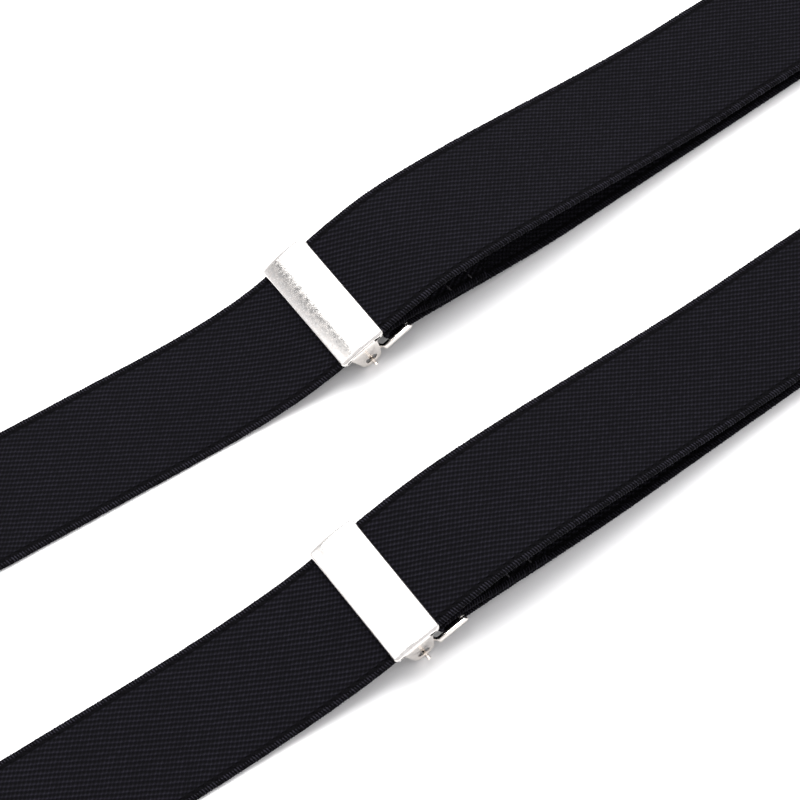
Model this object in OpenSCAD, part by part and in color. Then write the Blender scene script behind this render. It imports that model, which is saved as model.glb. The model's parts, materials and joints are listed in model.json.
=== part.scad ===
// A pair of clip-on suspenders, laid out flat with their front clips towards +X.
// Two elastic straps run from the front clips through slide adjusters, cross in a
// leather patch and end in the back clips. Units are millimetres, +Z is up, and the
// underside of the webbing and the clips rests on Z = 0.

/* [Webbing] */
// Width of the elastic webbing
webbing_w = 35.0; // [25:0.1:45]
// Thickness of the webbing
webbing_t = 1.5; // [1:0.1:2.5]
// Distance between the centre lines of the two straps at the front
strap_spacing = 74; // [60:0.2:120]
// Length of the left strap's lower run, from the adjuster's pivot to the front clip's bar
left_return_l = 195; // [150:1:260]
// How much further the right strap is shortened than the left
right_shorter = 19.4; // [0:0.2:40]
// Distance from the left adjuster's pivot back to the middle of the patch
adjuster_to_patch = 425; // [360:1:520]
// Distance from the middle of the patch to the back clips' bars
patch_to_back = 250; // [150:1:320]
// Angle of each strap to the centre line behind the patch
cross_angle = 16; // [12:0.5:20]
// Length of webbing folded back and sewn at each end
fold_l = 27; // [18:1:40]
// Sideways drift of the left strap behind its adjuster, as a slope
left_drift = 0.09; // [0:0.01:0.14]
// Sideways drift of the right strap behind its adjuster, as a slope
right_drift = 0.06; // [0:0.01:0.14]

/* [Adjuster] */
// How far the cover reaches past the ear at each end
cover_over = 0.1; // [0:0.1:1]
// Width of the cover along the strap
cover_w = 14.0; // [12:0.1:18]
// Height of the cover's crown over its edges
cover_crown = 0.9; // [0.4:0.1:1.2]
// Thickness of the cover's and the bracket's sheet
sheet_t = 0.5; // [0.4:0.05:0.7]
// Pitch of the left adjuster, front edge up
left_pitch = 19; // [8:1:20]
// Pitch of the right adjuster, front edge up
right_pitch = 14; // [8:1:20]
// Height of the bracket's deck over the lever's pivot
deck_z = 7.3; // [7.2:0.1:9]
// Radius of the ear's rounded foot
ear_r = 3.2; // [2.6:0.1:3.4]
// Radius of the round hole in each ear
ear_hole_r = 1.75; // [1.2:0.05:2]
// Radius of the lever's pivot nib
nib_r = 0.5; // [0.4:0.05:1]
// Distance from the pivot to the lever's cross bar
lever_l = 12.6; // [12:0.1:18]
// Radius of the lever's cross bar
lever_bar_r = 0.9; // [0.7:0.05:1.2]
// Thickness of the lever's arms, across the strap
arm_t = 1.3; // [0.8:0.05:1.4]

/* [Clip] */
// Radius of the bar that the webbing turns round
loop_bar_r = 1.2; // [0.9:0.05:1.5]
// Length of the clip from the bar to the mouth
clip_l = 43; // [40:1:55]
// Width of the clip's jaws
jaw_w = 25.4; // [22:0.2:32]
// Thickness of the clip's base plate
base_t = 1.0; // [0.8:0.1:1.4]
// Distance from the mouth back to the hinge pin
mouth_l = 9; // [8:0.5:12]
// Radius of the hinge pin
pin_r = 0.9; // [0.7:0.05:1.1]
// Running clearance between the pin and the cover's holes
pin_play = 0.05; // [0.02:0.01:0.1]
// Length of the flip cover behind the hinge pin
flip_l = 22; // [16:1:25]
// Thickness of the grip pads
pad_t = 0.8; // [0.6:0.1:1]

/* [Patch] */
// Length of the leather patch along the object
patch_l = 84; // [60:1:100]
// Leather beside the straps at the patch's ends
patch_margin = 3; // [1:0.5:8]
// Thickness of each leather layer
leather_t = 1.6; // [1:0.1:2.5]

/* [Hidden] */
$fn = 48;

// Clearances
layer_gap = 0.1;     // between two layers of webbing that lie on each other
side_gap = 0.1;      // between the webbing and an ear, or an ear and a lever arm
bar_gap = 0.1;       // between a bar and the webbing round it
floor_gap = 0.05;    // under a turn of webbing

// Webbing levels above the resting surface, at the middle of the webbing's thickness
turn_r = loop_bar_r + bar_gap + webbing_t / 2;
loop_bar_z = turn_r + webbing_t / 2 + floor_gap;
floor_z = webbing_t / 2;
sewn_z = floor_z + webbing_t + layer_gap;

// Places along the object, with the left adjuster's pivot at 0 before centring
left_ring_x = left_return_l;
right_ring_x = left_return_l - right_shorter;
right_pivot_x = -2 * right_shorter;
patch_x = -adjuster_to_patch;
back_ring_x = patch_x - patch_to_back * cos(cross_angle);
back_ring_y = patch_to_back * sin(cross_angle);
front_reach = left_ring_x + clip_l;
jaw_cut = 2;
back_reach = back_ring_x - clip_l * cos(cross_angle) - (jaw_w / 2 - jaw_cut) * sin(cross_angle);
centre_x = (front_reach + back_reach) / 2;

// Ears and arms of the adjuster
ear_in = webbing_w / 2 + side_gap;
ear_out = ear_in + sheet_t;
arm_in = ear_in;
cover_l = 2 * (ear_out + cover_over);
ear_lift = 0.3;      // under the ear's round foot
tooth_gap = 0.2;     // between the teeth and the webbing that they bite
sheet_gap = 0.1;     // between the cover and the deck inside it
pivot_z = ear_r + ear_lift;
lever_bar_z = 0.6;
deck_half = cover_w / 2 - 1.5;
ear_half = cover_w / 2 - 2.7;
cover_edge_z = deck_z + sheet_t + sheet_gap;
hem_z = deck_z - sheet_gap - sheet_t;
strap_top = hem_z - layer_gap;
strap_mid = strap_top - webbing_t / 2;
tooth_tip = strap_mid - webbing_t / 2 - tooth_gap;

// Clip levels above the resting surface
pad_top = base_t + pad_t;
cam_reach = 3.35;
jaw_gap = 0.45;      // between the closed grip pads
pin_z = pad_top + cam_reach + jaw_gap;
ear_top = pin_z + pin_r + 1.3;
flip_z = ear_top + 0.4;
pin_x = clip_l - mouth_l;

function is_left(side) = side == "left";
function turn_sign(side) = is_left(side) ? 1 : -1;
function pivot_x(side) = is_left(side) ? 0 : right_pivot_x;
function ring_x(side) = is_left(side) ? left_ring_x : right_ring_x;
function pitch(side) = is_left(side) ? left_pitch : right_pitch;
function drift(side) = is_left(side) ? left_drift : right_drift;
function lane_y(side) = turn_sign(side) * strap_spacing / 2;

// Cubic curve from value a to b over a length l, with end slopes sa and sb, at u from 0 to 1
function cubic(a, sa, b, sb, l, u) =
  (2 * u * u * u - 3 * u * u + 1) * a + (u * u * u - 2 * u * u + u) * l * sa
  + (3 * u * u - 2 * u * u * u) * b + (u * u * u - u * u) * l * sb;
function cubic_slope(a, sa, b, sb, l, u) =
  (6 * u * u - 6 * u) * (a - b) / l + (3 * u * u - 4 * u + 1) * sa + (3 * u * u - 2 * u) * sb;

// A point of the adjuster's own frame, seen from the side: [along, up] from the pivot
function tipped(side, p) = [
  pivot_x(side) + p[0] * cos(pitch(side)) - p[1] * sin(pitch(side)),
  pivot_z + p[0] * sin(pitch(side)) + p[1] * cos(pitch(side))
];

// Sideways path of a strap behind its adjuster: straight under the cover, it then drifts and at
// last swings over to cross the centre
drift_l = 110;
drift_ease = 12;
drift_x0 = cover_w / 2 + 2;
cross_half = webbing_w / (2 * sin(cross_angle)) + 4;
swing_end_x = patch_x + cross_half + 3;
function drift_y(side, d) = lane_y(side) + drift(side) * d * d / (d + drift_ease);
function drift_slope(side, d) =
  -drift(side) * (d * d + 2 * drift_ease * d) / ((d + drift_ease) * (d + drift_ease));
function cross_y(side, x) = turn_sign(side) * tan(cross_angle) * (x - patch_x);
function swing_y(side, x) =
  let (l = pivot_x(side) - drift_x0 - drift_l - swing_end_x)
  cubic(
    cross_y(side, swing_end_x), turn_sign(side) * tan(cross_angle),
    drift_y(side, drift_l), drift_slope(side, drift_l), l, (x - swing_end_x) / l
  );
function strap_y(side, x) =
  let (d = pivot_x(side) - drift_x0 - x)
  d <= 0 ? lane_y(side)
  : d <= drift_l ? drift_y(side, d)
  : x >= swing_end_x ? swing_y(side, x)
  : cross_y(side, x);
function strap_heading(side, x) = atan(strap_y(side, x + 0.5) - strap_y(side, x - 0.5));

// Height of the middle of the webbing along a strap behind its adjuster
settle_l = 60;
entry_x = -drift_x0;
exit_x = cover_w / 2 + 0.5;
patch_half = patch_l / 2;
patch_flat = max(patch_half + 2, cross_half - 20);
patch_ease_l = 30;
cross_ease_l = 24;
// 1 up to a distance d0, easing to 0 over a length l
function ease(d, d0, l) = let (u = max(0, min(1, 1 - (d - d0) / l))) u * u * (3 - 2 * u);
function patch_rise(side, x) =
  let (d = abs(x - patch_x))
  (leather_t + layer_gap) * ease(d, patch_flat, patch_ease_l)
  + (is_left(side) ? 0 : (webbing_t + layer_gap) * ease(d, cross_half, cross_ease_l));
function strap_z(side, x) =
  let (
    e = tipped(side, [entry_x, strap_mid]),
    s = e[0] - settle_l,
    u = (x - s) / settle_l
  )
  x >= e[0] ? e[1] + (x - e[0]) * tan(pitch(side))
  : x >= s ? cubic(floor_z, 0, e[1], tan(pitch(side)), settle_l, u)
  : floor_z + patch_rise(side, x);

// Height of the upper run in front of the adjuster: it rises to a crest, falls and lies on the lower run
crest_l = 24;
crest_rise = 0.6;
fall_l = 97;
lie_over = 1.6;
lie_slope = -0.005;
function run_z(side, x) =
  let (
    e = tipped(side, [exit_x, strap_mid]),
    c = e[1] + crest_rise * crest_l * tan(pitch(side)),
    xc = e[0] + crest_l,
    xf = xc + fall_l,
    low = loop_bar_z + turn_r,
    over = low + lie_over,
    rest_l = ring_x(side) - xf
  )
  x <= e[0] ? e[1] + (x - e[0]) * tan(pitch(side))
  : x <= xc ? cubic(e[1], tan(pitch(side)), c, 0, crest_l, (x - e[0]) / crest_l)
  : x <= xf ? cubic(c, 0, over, lie_slope, fall_l, (x - xc) / fall_l)
  : cubic(over, lie_slope, low, 0, rest_l, (x - xf) / rest_l);

// Webbing swept along stations [x, y, z, heading]: a flat band, closed at both ends
function unit(v) = v / norm(v);
function along(s, i) =
  unit([for (k = [0:2]) s[min(i + 1, len(s) - 1)][k] - s[max(i - 1, 0)][k]]);
function band_ring(s, i) =
  let (
    p = [s[i][0], s[i][1], s[i][2]],
    side_dir = [-sin(s[i][3]), cos(s[i][3]), 0],
    up_dir = unit(cross(along(s, i), side_dir)),
    a = side_dir * webbing_w / 2,
    b = up_dir * webbing_t / 2
  )
  [p - a - b, p + a - b, p + a + b, p - a + b];
module band(s) {
  n = len(s);
  points = [for (i = [0:n - 1]) each band_ring(s, i)];
  sides = [
    for (i = [0:n - 2], k = [0:3])
      [4 * i + k, 4 * i + (k + 1) % 4, 4 * i + 4 + (k + 1) % 4, 4 * i + 4 + k]
  ];
  polyhedron(
    points = points,
    faces = concat([[0, 3, 2, 1]], sides, [[4 * n - 4, 4 * n - 3, 4 * n - 2, 4 * n - 1]]),
    convexity = 6
  );
}

// Stations of a half turn round a bar, seen from the side, from angle a0 to a1
function turn(cx, cz, r, a0, a1, n) = [
  for (i = [0:n])
    let (a = a0 + (a1 - a0) * i / n)
    [cx + r * cos(a), cz + r * sin(a)]
];

// The back end of a strap in its own line: the fold, the turn round the clip's bar, and the upper layer
loop_l = 14;
step_l = 10;
function back_end(side) =
  let (
    fold = [for (i = [0:4]) [fold_l - i * (fold_l - 2) / 4, floor_z]],
    loop = turn(0, loop_bar_z, turn_r, 270, 90, 10),
    top = [
      for (u = [0.25:0.25:1]) [loop_l * u, cubic(loop_bar_z + turn_r, 0, sewn_z, 0, loop_l, u)]
    ],
    step = [
      for (u = [0:0.2:1]) [fold_l + 1 + step_l * u, cubic(sewn_z, 0, floor_z, 0, step_l, u)]
    ],
    flat = concat(fold, loop, top, step),
    h = turn_sign(side) * cross_angle
  )
  [
    for (p = flat)
      [back_ring_x + p[0] * cos(h), -turn_sign(side) * back_ring_y + p[0] * sin(h), p[1], h]
  ];

module strap_path(side) {
  first_x = back_ring_x + (fold_l + step_l + 4) * cos(cross_angle);
  last_x = tipped(side, [-0.2, strap_mid])[0];
  turn_x = pivot_x(side) - settle_l - 14;
  rear = [for (i = [0:72]) first_x + (turn_x - first_x) * i / 72];
  near = [for (i = [1:24]) turn_x + (last_x - turn_x) * i / 24];
  line = [for (x = concat(rear, near)) [x, strap_y(side, x), strap_z(side, x), strap_heading(side, x)]];
  band(concat(back_end(side), line));
}

module front_run_path(side) {
  first_x = tipped(side, [0.2, strap_mid])[0];
  last_x = ring_x(side);
  line = [
    for (i = [0:40])
      let (x = first_x + (last_x - first_x) * i / 40) [x, lane_y(side), run_z(side, x), 0]
  ];
  band(line);
}

// The lower run: the sewn fold, the turn round the lever's bar, the run, and the turn at the clip
lever_turn_r = lever_bar_r + bar_gap + webbing_t / 2;
loop_slack = 4.2;
return_fall_l = 58;
module return_run_path(side) {
  bar = tipped(side, [lever_l, lever_bar_z]);
  low = bar[1] - lever_turn_r;
  fall_x = bar[0] + return_fall_l;
  fold_x = bar[0] + fold_l;
  function under_z(x) =
    x <= bar[0] ? low
    : x >= fall_x ? floor_z
    : cubic(low, -tan(pitch(side)) * 0.2, floor_z, 0, return_fall_l, (x - bar[0]) / return_fall_l);
  fold = [
    for (i = [0:6])
      let (
        x = fold_x - i * (fold_l - 1) / 6,
        u = min(1, (x - bar[0]) / 13),
        lie = under_z(x) + webbing_t + layer_gap
      )
      [x, cubic(bar[1] + lever_turn_r, 0, lie, -0.1, 13, u) * (1 - floor(u)) + lie * floor(u)]
  ];
  loop = turn(bar[0] - loop_slack, bar[1], lever_turn_r, 90, 270, 12);
  under = [for (i = [0:20]) let (x = bar[0] + return_fall_l * i / 20) [x, under_z(x)]];
  rest_l = ring_x(side) - fall_x;
  rest = [for (i = [1:8]) [fall_x + rest_l * i / 8, floor_z + (i == 8 ? floor_gap : 0)]];
  ring = turn(ring_x(side), loop_bar_z, turn_r, 285, 445, 12);
  flat = concat(fold, loop, under, rest, ring);
  band([for (p = flat) [p[0], lane_y(side), p[1], 0]]);
}

// The adjuster's parts are drawn in its own frame and tipped into place
module in_adjuster(side) {
  translate([pivot_x(side), lane_y(side), pivot_z]) rotate([0, -pitch(side), 0]) children();
}

// Draws a side view [along, up] as a solid across the strap, from y0 to y1
module across(y0, y1) {
  translate([0, y1, 0]) rotate([90, 0, 0]) linear_extrude(y1 - y0) children();
}

// The same, at the end s (-1 or 1) of a symmetrical piece, from y0 to y1 off its middle
module at_end(s, y0, y1) {
  across(s > 0 ? y0 : -y1, s > 0 ? y1 : -y0) children();
}

// Crowned sheet with its long edges hemmed under the bracket's deck
module cover_shape() {
  half = cover_w / 2;
  crown_r = (half * half + cover_crown * cover_crown) / (2 * cover_crown);
  span = asin(half / crown_r);
  lip = sheet_t * 0.5;
  outer = [
    for (i = [0:24])
      let (a = 90 + span - 2 * span * i / 24)
      [crown_r * cos(a), cover_edge_z + sheet_t + cover_crown - crown_r + crown_r * sin(a)]
  ];
  inner = [
    for (i = [0:24])
      let (a = 90 - span + 2 * span * i / 24, r = crown_r - sheet_t)
      [(half - sheet_t) / half * r * cos(a), cover_edge_z + sheet_t + cover_crown - crown_r + r * sin(a)]
  ];
  hem_in = half - 2.6;
  right_hem = [
    [half, hem_z + lip], [half - lip, hem_z], [hem_in, hem_z], [hem_in, hem_z + sheet_t],
    [half - sheet_t, hem_z + sheet_t]
  ];
  left_hem = [for (i = [len(right_hem) - 1:-1:0]) [-right_hem[i][0], right_hem[i][1]]];
  intersection() {
    across(-cover_l / 2, cover_l / 2) polygon(concat(outer, right_hem, inner, left_hem));
    linear_extrude(2 * deck_z) rounded_plan(cover_w, cover_l, 1);
  }
}

// Rectangle centred on the origin with round corners
module rounded_plan(l, w, r) {
  square([l - 2 * r, w], center = true);
  square([l, w - 2 * r], center = true);
  for (sx = [-1, 1], sy = [-1, 1]) translate([sx * (l / 2 - r), sy * (w / 2 - r)]) circle(r);
}

// Flat deck with an ear folded down at each end
module bracket_shape() {
  translate([-deck_half, -ear_out, deck_z]) cube([2 * deck_half, 2 * ear_out, sheet_t]);
  for (s = [-1, 1])
    at_end(s, ear_in, ear_out)
      difference() {
        union() {
          polygon([
            [-ear_half, deck_z + sheet_t / 2], [ear_half, deck_z + sheet_t / 2],
            [ear_r, 0], [-ear_r, 0]
          ]);
          circle(ear_r);
        }
        circle(ear_hole_r);
      }
}

// Arms, toothed tongue, cross bar and pivot nibs, stamped in one
module lever_shape() {
  arm_h = 2;
  inset = 1.25;
  boss_r = nib_r + 0.45;
  jog_x = ear_r + 0.4;
  arm_x = 0.4;
  arm_low = lever_bar_z - arm_h / 2;
  for (s = [-1, 1]) {
    mirror([0, s < 0 ? 1 : 0, 0]) {
      translate([0, 0, arm_low])
        linear_extrude(arm_h)
          polygon([
            [arm_x, arm_in - inset], [arm_x, arm_in - side_gap],
            [jog_x, arm_in - side_gap], [jog_x + inset, arm_in + arm_t],
            [lever_l, arm_in + arm_t], [lever_l, arm_in],
            [jog_x + inset + 0.4, arm_in], [jog_x + 0.4, arm_in - inset]
          ]);
      across(arm_in, arm_in + arm_t) translate([lever_l, lever_bar_z]) circle(arm_h / 2);
      across(arm_in - inset, arm_in - side_gap) circle(boss_r);
      across(arm_in - side_gap - 0.1, ear_out + 2.3) circle(nib_r);
    }
  }
  across(-arm_in - 0.1, arm_in + 0.1) translate([lever_l, lever_bar_z]) circle(lever_bar_r);
  // tongue with a row of teeth along its top
  tongue_half = arm_in - 0.5;
  tongue_t = 0.9;
  tooth_h = 1.1;
  teeth = 12;
  pitch_y = 2 * tongue_half / teeth;
  root = tooth_tip - tooth_h;
  function tooth(i, k) = [-tongue_half + pitch_y * (i + k / 2), k == 0 ? root : tooth_tip];
  translate([-tongue_t / 2, 0, 0])
    rotate([90, 0, 90])
      linear_extrude(tongue_t)
        polygon(concat(
          [[-tongue_half, -tongue_t]],
          [for (i = [0:teeth - 1], k = [0, 1]) tooth(i, k)],
          [[tongue_half, root], [tongue_half, -tongue_t]]
        ));
}

// A clip is drawn along +X from its loop bar, with the resting surface at Z = 0
module at_clip(clip) {
  front = clip == "front_left" || clip == "front_right";
  side = clip == "front_left" || clip == "back_left" ? "left" : "right";
  if (front) {
    translate([ring_x(side), lane_y(side), 0]) children();
  } else {
    translate([back_ring_x, -turn_sign(side) * back_ring_y, 0])
      rotate([0, 0, 180 + turn_sign(side) * cross_angle])
        children();
  }
}

loop_in = webbing_w / 2 + 0.35;
loop_out = loop_in + 2;
slot_l = 6.2;
module clip_base_shape() {
  z0 = loop_bar_z;
  half = base_t / 2;
  drop_x = slot_l + 3;
  flat_x = drop_x + 7;
  neck_x = flat_x + 5;
  lip_t = 0.9;
  lip_h = 0.6;
  ear_t = 0.8;
  difference() {
    intersection() {
      across(-loop_out, loop_out)
        polygon([
          [-loop_bar_r, z0 - half], [drop_x, z0 - half], [flat_x, 0], [clip_l, 0],
          [clip_l, base_t + lip_h], [clip_l - lip_t, base_t + lip_h], [clip_l - lip_t, base_t],
          [flat_x + 0.4, base_t], [drop_x + 0.4, z0 + half], [-loop_bar_r, z0 + half]
        ]);
      linear_extrude(loop_bar_z + base_t)
        polygon([
          [-loop_bar_r, -loop_out], [drop_x - 2, -loop_out],
          [neck_x, -jaw_w / 2], [clip_l - jaw_cut, -jaw_w / 2],
          [clip_l, -jaw_w / 2 + jaw_cut], [clip_l, jaw_w / 2 - jaw_cut],
          [clip_l - jaw_cut, jaw_w / 2], [neck_x, jaw_w / 2],
          [drop_x - 2, loop_out], [-loop_bar_r, loop_out]
        ]);
    }
    translate([-2 * loop_bar_r, -loop_in, -1])
      cube([slot_l + 2 * loop_bar_r, 2 * loop_in, 2 * loop_bar_z + 2]);
  }
  across(-loop_out + 0.4, loop_out - 0.4) translate([0, z0]) circle(loop_bar_r);
  for (s = [-1, 1])
    at_end(s, jaw_w / 2 - ear_t, jaw_w / 2)
      difference() {
        polygon([
          [pin_x - 3.5, base_t / 2], [pin_x - 3.5, pin_z], [pin_x - 2, ear_top],
          [pin_x + 2, ear_top], [pin_x + 3.5, pin_z], [pin_x + 3.5, base_t / 2]
        ]);
        translate([pin_x, pin_z]) circle(pin_r);
      }
}

module clip_pin_shape() {
  head_gap = 0.05;
  head_t = 0.5;
  across(-jaw_w / 2 - 2 * head_gap, jaw_w / 2 + 2 * head_gap)
    translate([pin_x, pin_z]) circle(pin_r);
  for (s = [-1, 1])
    at_end(s, jaw_w / 2 + head_gap, jaw_w / 2 + head_gap + head_t)
      translate([pin_x, pin_z]) circle(pin_r + 0.6);
}

flip_half = jaw_w / 2 - 1.1;
cam_half = 1.3;
module clip_cover_shape() {
  front_x = pin_x + 1;
  cheek_t = 0.8;
  crown_r = 60;
  crown_top = flip_z + 1.6;
  plate_t = 0.9;
  plate_l = flip_l + 1;
  // crowned cover plate over the ears
  intersection() {
    translate([front_x - plate_l, 0, 0])
      rotate([90, 0, 90])
        linear_extrude(plate_l)
          difference() {
            translate([0, crown_top - crown_r]) circle(crown_r, $fn = 360);
            translate([0, crown_top - plate_t - crown_r]) circle(crown_r, $fn = 360);
            translate([-crown_r, flip_z - 2 * crown_r]) square([2 * crown_r, 2 * crown_r]);
          }
    linear_extrude(3 * flip_z)
      translate([front_x - plate_l / 2, 0]) rounded_plan(plate_l, 2 * flip_half, 3);
  }
  for (s = [-1, 1])
    at_end(s, flip_half - cheek_t, flip_half)
      difference() {
        union() {
          translate([pin_x, pin_z]) circle(pin_r + 1.5);
          translate([pin_x - 8, flip_z - 0.9]) square([9, 1.1]);
          polygon([
            [pin_x - 7, flip_z - 0.4], [pin_x - 2.2, pin_z - 1],
            [pin_x + 0.9, pin_z + 0.5], [pin_x + 0.9, flip_z]
          ]);
        }
        translate([pin_x, pin_z]) circle(pin_r + pin_play);
      }
  // cam bar between the cheeks, under the pin
  bar_top = -pin_r - 0.6;
  bar_low = -cam_reach + pad_t;
  across(-flip_half + 0.1, flip_half - 0.1)
    translate([pin_x - cam_half, pin_z + bar_low]) square([2 * cam_half, bar_top - bar_low]);
}

// Soft strip with cross ribs on the base plate
module base_pad_shape() {
  start_x = pin_x - 4;
  end_x = clip_l - 1.2;
  pad_half = jaw_w / 2 - 1;
  rib_half = pad_half - 0.4;
  rib_w = 0.8;
  ribs = 7;
  rib_pitch = (end_x - start_x - rib_w - 0.4) / (ribs - 1);
  translate([start_x, -pad_half, base_t]) cube([end_x - start_x, 2 * pad_half, pad_t * 0.6]);
  for (i = [0:ribs - 1])
    translate([start_x + 0.2 + i * rib_pitch, -rib_half, base_t]) cube([rib_w, 2 * rib_half, pad_t]);
}

module cam_pad_shape() {
  across(-flip_half + 1, flip_half - 1)
    translate([pin_x, pin_z])
      intersection() {
        translate([-cam_half, -cam_reach]) square([2 * cam_half, pad_t]);
        circle(cam_reach + 0.2);
      }
}

patch_corner_r = 16;
patch_side = patch_half * tan(cross_angle) + webbing_w / 2 / cos(cross_angle) + patch_margin;
patch_w = 2 * patch_side;
patch_top = leather_t + 2 * (webbing_t + layer_gap) + layer_gap;

module strap(side) { color("#1d1c22") strap_path(side); }
module front_run(side) { color("#232229") front_run_path(side); }
module return_run(side) { color("#18171c") return_run_path(side); }
module adjuster_cover(side) { color("#e6e6e8") in_adjuster(side) cover_shape(); }
module adjuster_bracket(side) { color("#cfc9c4") in_adjuster(side) bracket_shape(); }
module adjuster_lever(side) { color("#d8d8dc") in_adjuster(side) lever_shape(); }
module clip_base(clip) { color("#c9c9cd") at_clip(clip) clip_base_shape(); }
module clip_cover(clip) { color("#e2e2e6") at_clip(clip) clip_cover_shape(); }
module clip_pin(clip) { color("#b4b4ba") at_clip(clip) clip_pin_shape(); }
module base_pad(clip) { color("#2c2c30") at_clip(clip) base_pad_shape(); }
module cam_pad(clip) { color("#2c2c30") at_clip(clip) cam_pad_shape(); }
module patch_outer() {
  color("#26201e")
    translate([patch_x, 0, patch_top])
      linear_extrude(leather_t) rounded_plan(patch_l, patch_w, patch_corner_r);
}
module patch_inner() {
  color("#3a2c26")
    translate([patch_x, 0, 0])
      linear_extrude(leather_t) rounded_plan(patch_l, patch_w, patch_corner_r);
}

// Everything is centred over the origin
module centred() { translate([-centre_x, 0, 0]) children(); }

centred() strap("left");  // strap_left
centred() strap("right");  // strap_right
centred() front_run("left");  // front_run_left
centred() front_run("right");  // front_run_right
centred() return_run("left");  // return_run_left
centred() return_run("right");  // return_run_right
centred() patch_outer();
centred() patch_inner();
centred() adjuster_cover("left");  // adjuster_cover_left
centred() adjuster_cover("right");  // adjuster_cover_right
centred() adjuster_bracket("left");  // adjuster_bracket_left
centred() adjuster_bracket("right");  // adjuster_bracket_right
centred() adjuster_lever("left");  // adjuster_lever_left
centred() adjuster_lever("right");  // adjuster_lever_right
centred() clip_base("front_left");  // clip_base_front_left
centred() clip_base("front_right");  // clip_base_front_right
centred() clip_base("back_left");  // clip_base_back_left
centred() clip_base("back_right");  // clip_base_back_right
centred() clip_cover("front_left");  // clip_cover_front_left
centred() clip_cover("front_right");  // clip_cover_front_right
centred() clip_cover("back_left");  // clip_cover_back_left
centred() clip_cover("back_right");  // clip_cover_back_right
centred() clip_pin("front_left");  // clip_pin_front_left
centred() clip_pin("front_right");  // clip_pin_front_right
centred() clip_pin("back_left");  // clip_pin_back_left
centred() clip_pin("back_right");  // clip_pin_back_right
centred() base_pad("front_left");  // base_pad_front_left
centred() base_pad("front_right");  // base_pad_front_right
centred() base_pad("back_left");  // base_pad_back_left
centred() base_pad("back_right");  // base_pad_back_right
centred() cam_pad("front_left");  // cam_pad_front_left
centred() cam_pad("front_right");  // cam_pad_front_right
centred() cam_pad("back_left");  // cam_pad_back_left
centred() cam_pad("back_right");  // cam_pad_back_right
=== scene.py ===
"""Looks of a pair of clip-on suspenders: twill elastic, nickel adjusters and clips, a leather patch."""
import json
import math

import bmesh
import bpy
import numpy as np
from bpy.props import FloatProperty, FloatVectorProperty, IntProperty, PointerProperty
from mathutils import Matrix, Vector, noise


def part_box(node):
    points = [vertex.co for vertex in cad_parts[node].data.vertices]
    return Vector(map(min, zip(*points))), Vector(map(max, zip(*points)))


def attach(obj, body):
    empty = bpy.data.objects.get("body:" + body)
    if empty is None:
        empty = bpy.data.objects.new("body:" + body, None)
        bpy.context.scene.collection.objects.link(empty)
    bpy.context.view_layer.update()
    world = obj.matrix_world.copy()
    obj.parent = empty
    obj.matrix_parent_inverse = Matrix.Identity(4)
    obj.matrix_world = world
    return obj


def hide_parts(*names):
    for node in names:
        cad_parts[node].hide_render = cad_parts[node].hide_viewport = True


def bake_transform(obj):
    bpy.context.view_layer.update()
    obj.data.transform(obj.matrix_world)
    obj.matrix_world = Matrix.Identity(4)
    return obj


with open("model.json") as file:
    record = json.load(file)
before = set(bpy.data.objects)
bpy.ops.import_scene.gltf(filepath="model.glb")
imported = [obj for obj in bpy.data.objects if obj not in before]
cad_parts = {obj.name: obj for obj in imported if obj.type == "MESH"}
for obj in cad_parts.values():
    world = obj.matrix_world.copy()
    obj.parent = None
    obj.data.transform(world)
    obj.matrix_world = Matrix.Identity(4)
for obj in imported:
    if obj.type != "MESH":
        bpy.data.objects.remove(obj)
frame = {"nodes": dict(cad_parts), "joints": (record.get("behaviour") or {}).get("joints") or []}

bl_info = {
    "name": "Clip-on suspenders",
    "version": (1, 0, 0),
    "blender": (4, 5, 0),
    "location": "View3D > Sidebar > Suspenders",
    "description": "Makes webbing, slide adjusters, a leather patch and flip clips round a frame",
    "category": "Object",
}

MM = 0.001
SIDES = ("left", "right")
CLIPS = ("front_left", "front_right", "back_left", "back_right")
JOINTS = {joint["name"]: joint for joint in frame["joints"]}
PIVOT = {side: Vector(JOINTS[f"lever_{side}_swing"]["pos_m"]) for side in SIDES}
RING = {side: Vector(JOINTS[f"clip_front_{side}_swing"]["pos_m"]) for side in SIDES}
BACK = {side: Vector(JOINTS[f"clip_back_{side}_swing"]["pos_m"]) for side in SIDES}
PATCH_LOW, PATCH_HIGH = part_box("patch_outer")
PATCH_X, PATCH_Y = (PATCH_HIGH.x + PATCH_LOW.x) / 2, (PATCH_HIGH.y + PATCH_LOW.y) / 2
PATCH_HALF_L, PATCH_HALF_W = (PATCH_HIGH.x - PATCH_LOW.x) / 2, (PATCH_HIGH.y - PATCH_LOW.y) / 2
LEATHER = PATCH_HIGH.z - PATCH_LOW.z
UP = Vector((0, 0, 1))
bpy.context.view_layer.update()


# ---------------------------------------------------------------- sizes and colours

def size(name, description, default):
    """A length in metres that a user may change."""
    return FloatProperty(name=name, description=description, default=default, unit="LENGTH", precision=5)


def colour(name, description, default):
    """A linear colour that a user may change."""
    return FloatVectorProperty(name=name, description=description, default=default, subtype="COLOR",
                               min=0, max=1)


def turned(name, description, degrees):
    """An angle that a user may change."""
    return FloatProperty(name=name, description=description, default=math.radians(degrees),
                         unit="ROTATION")


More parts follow.
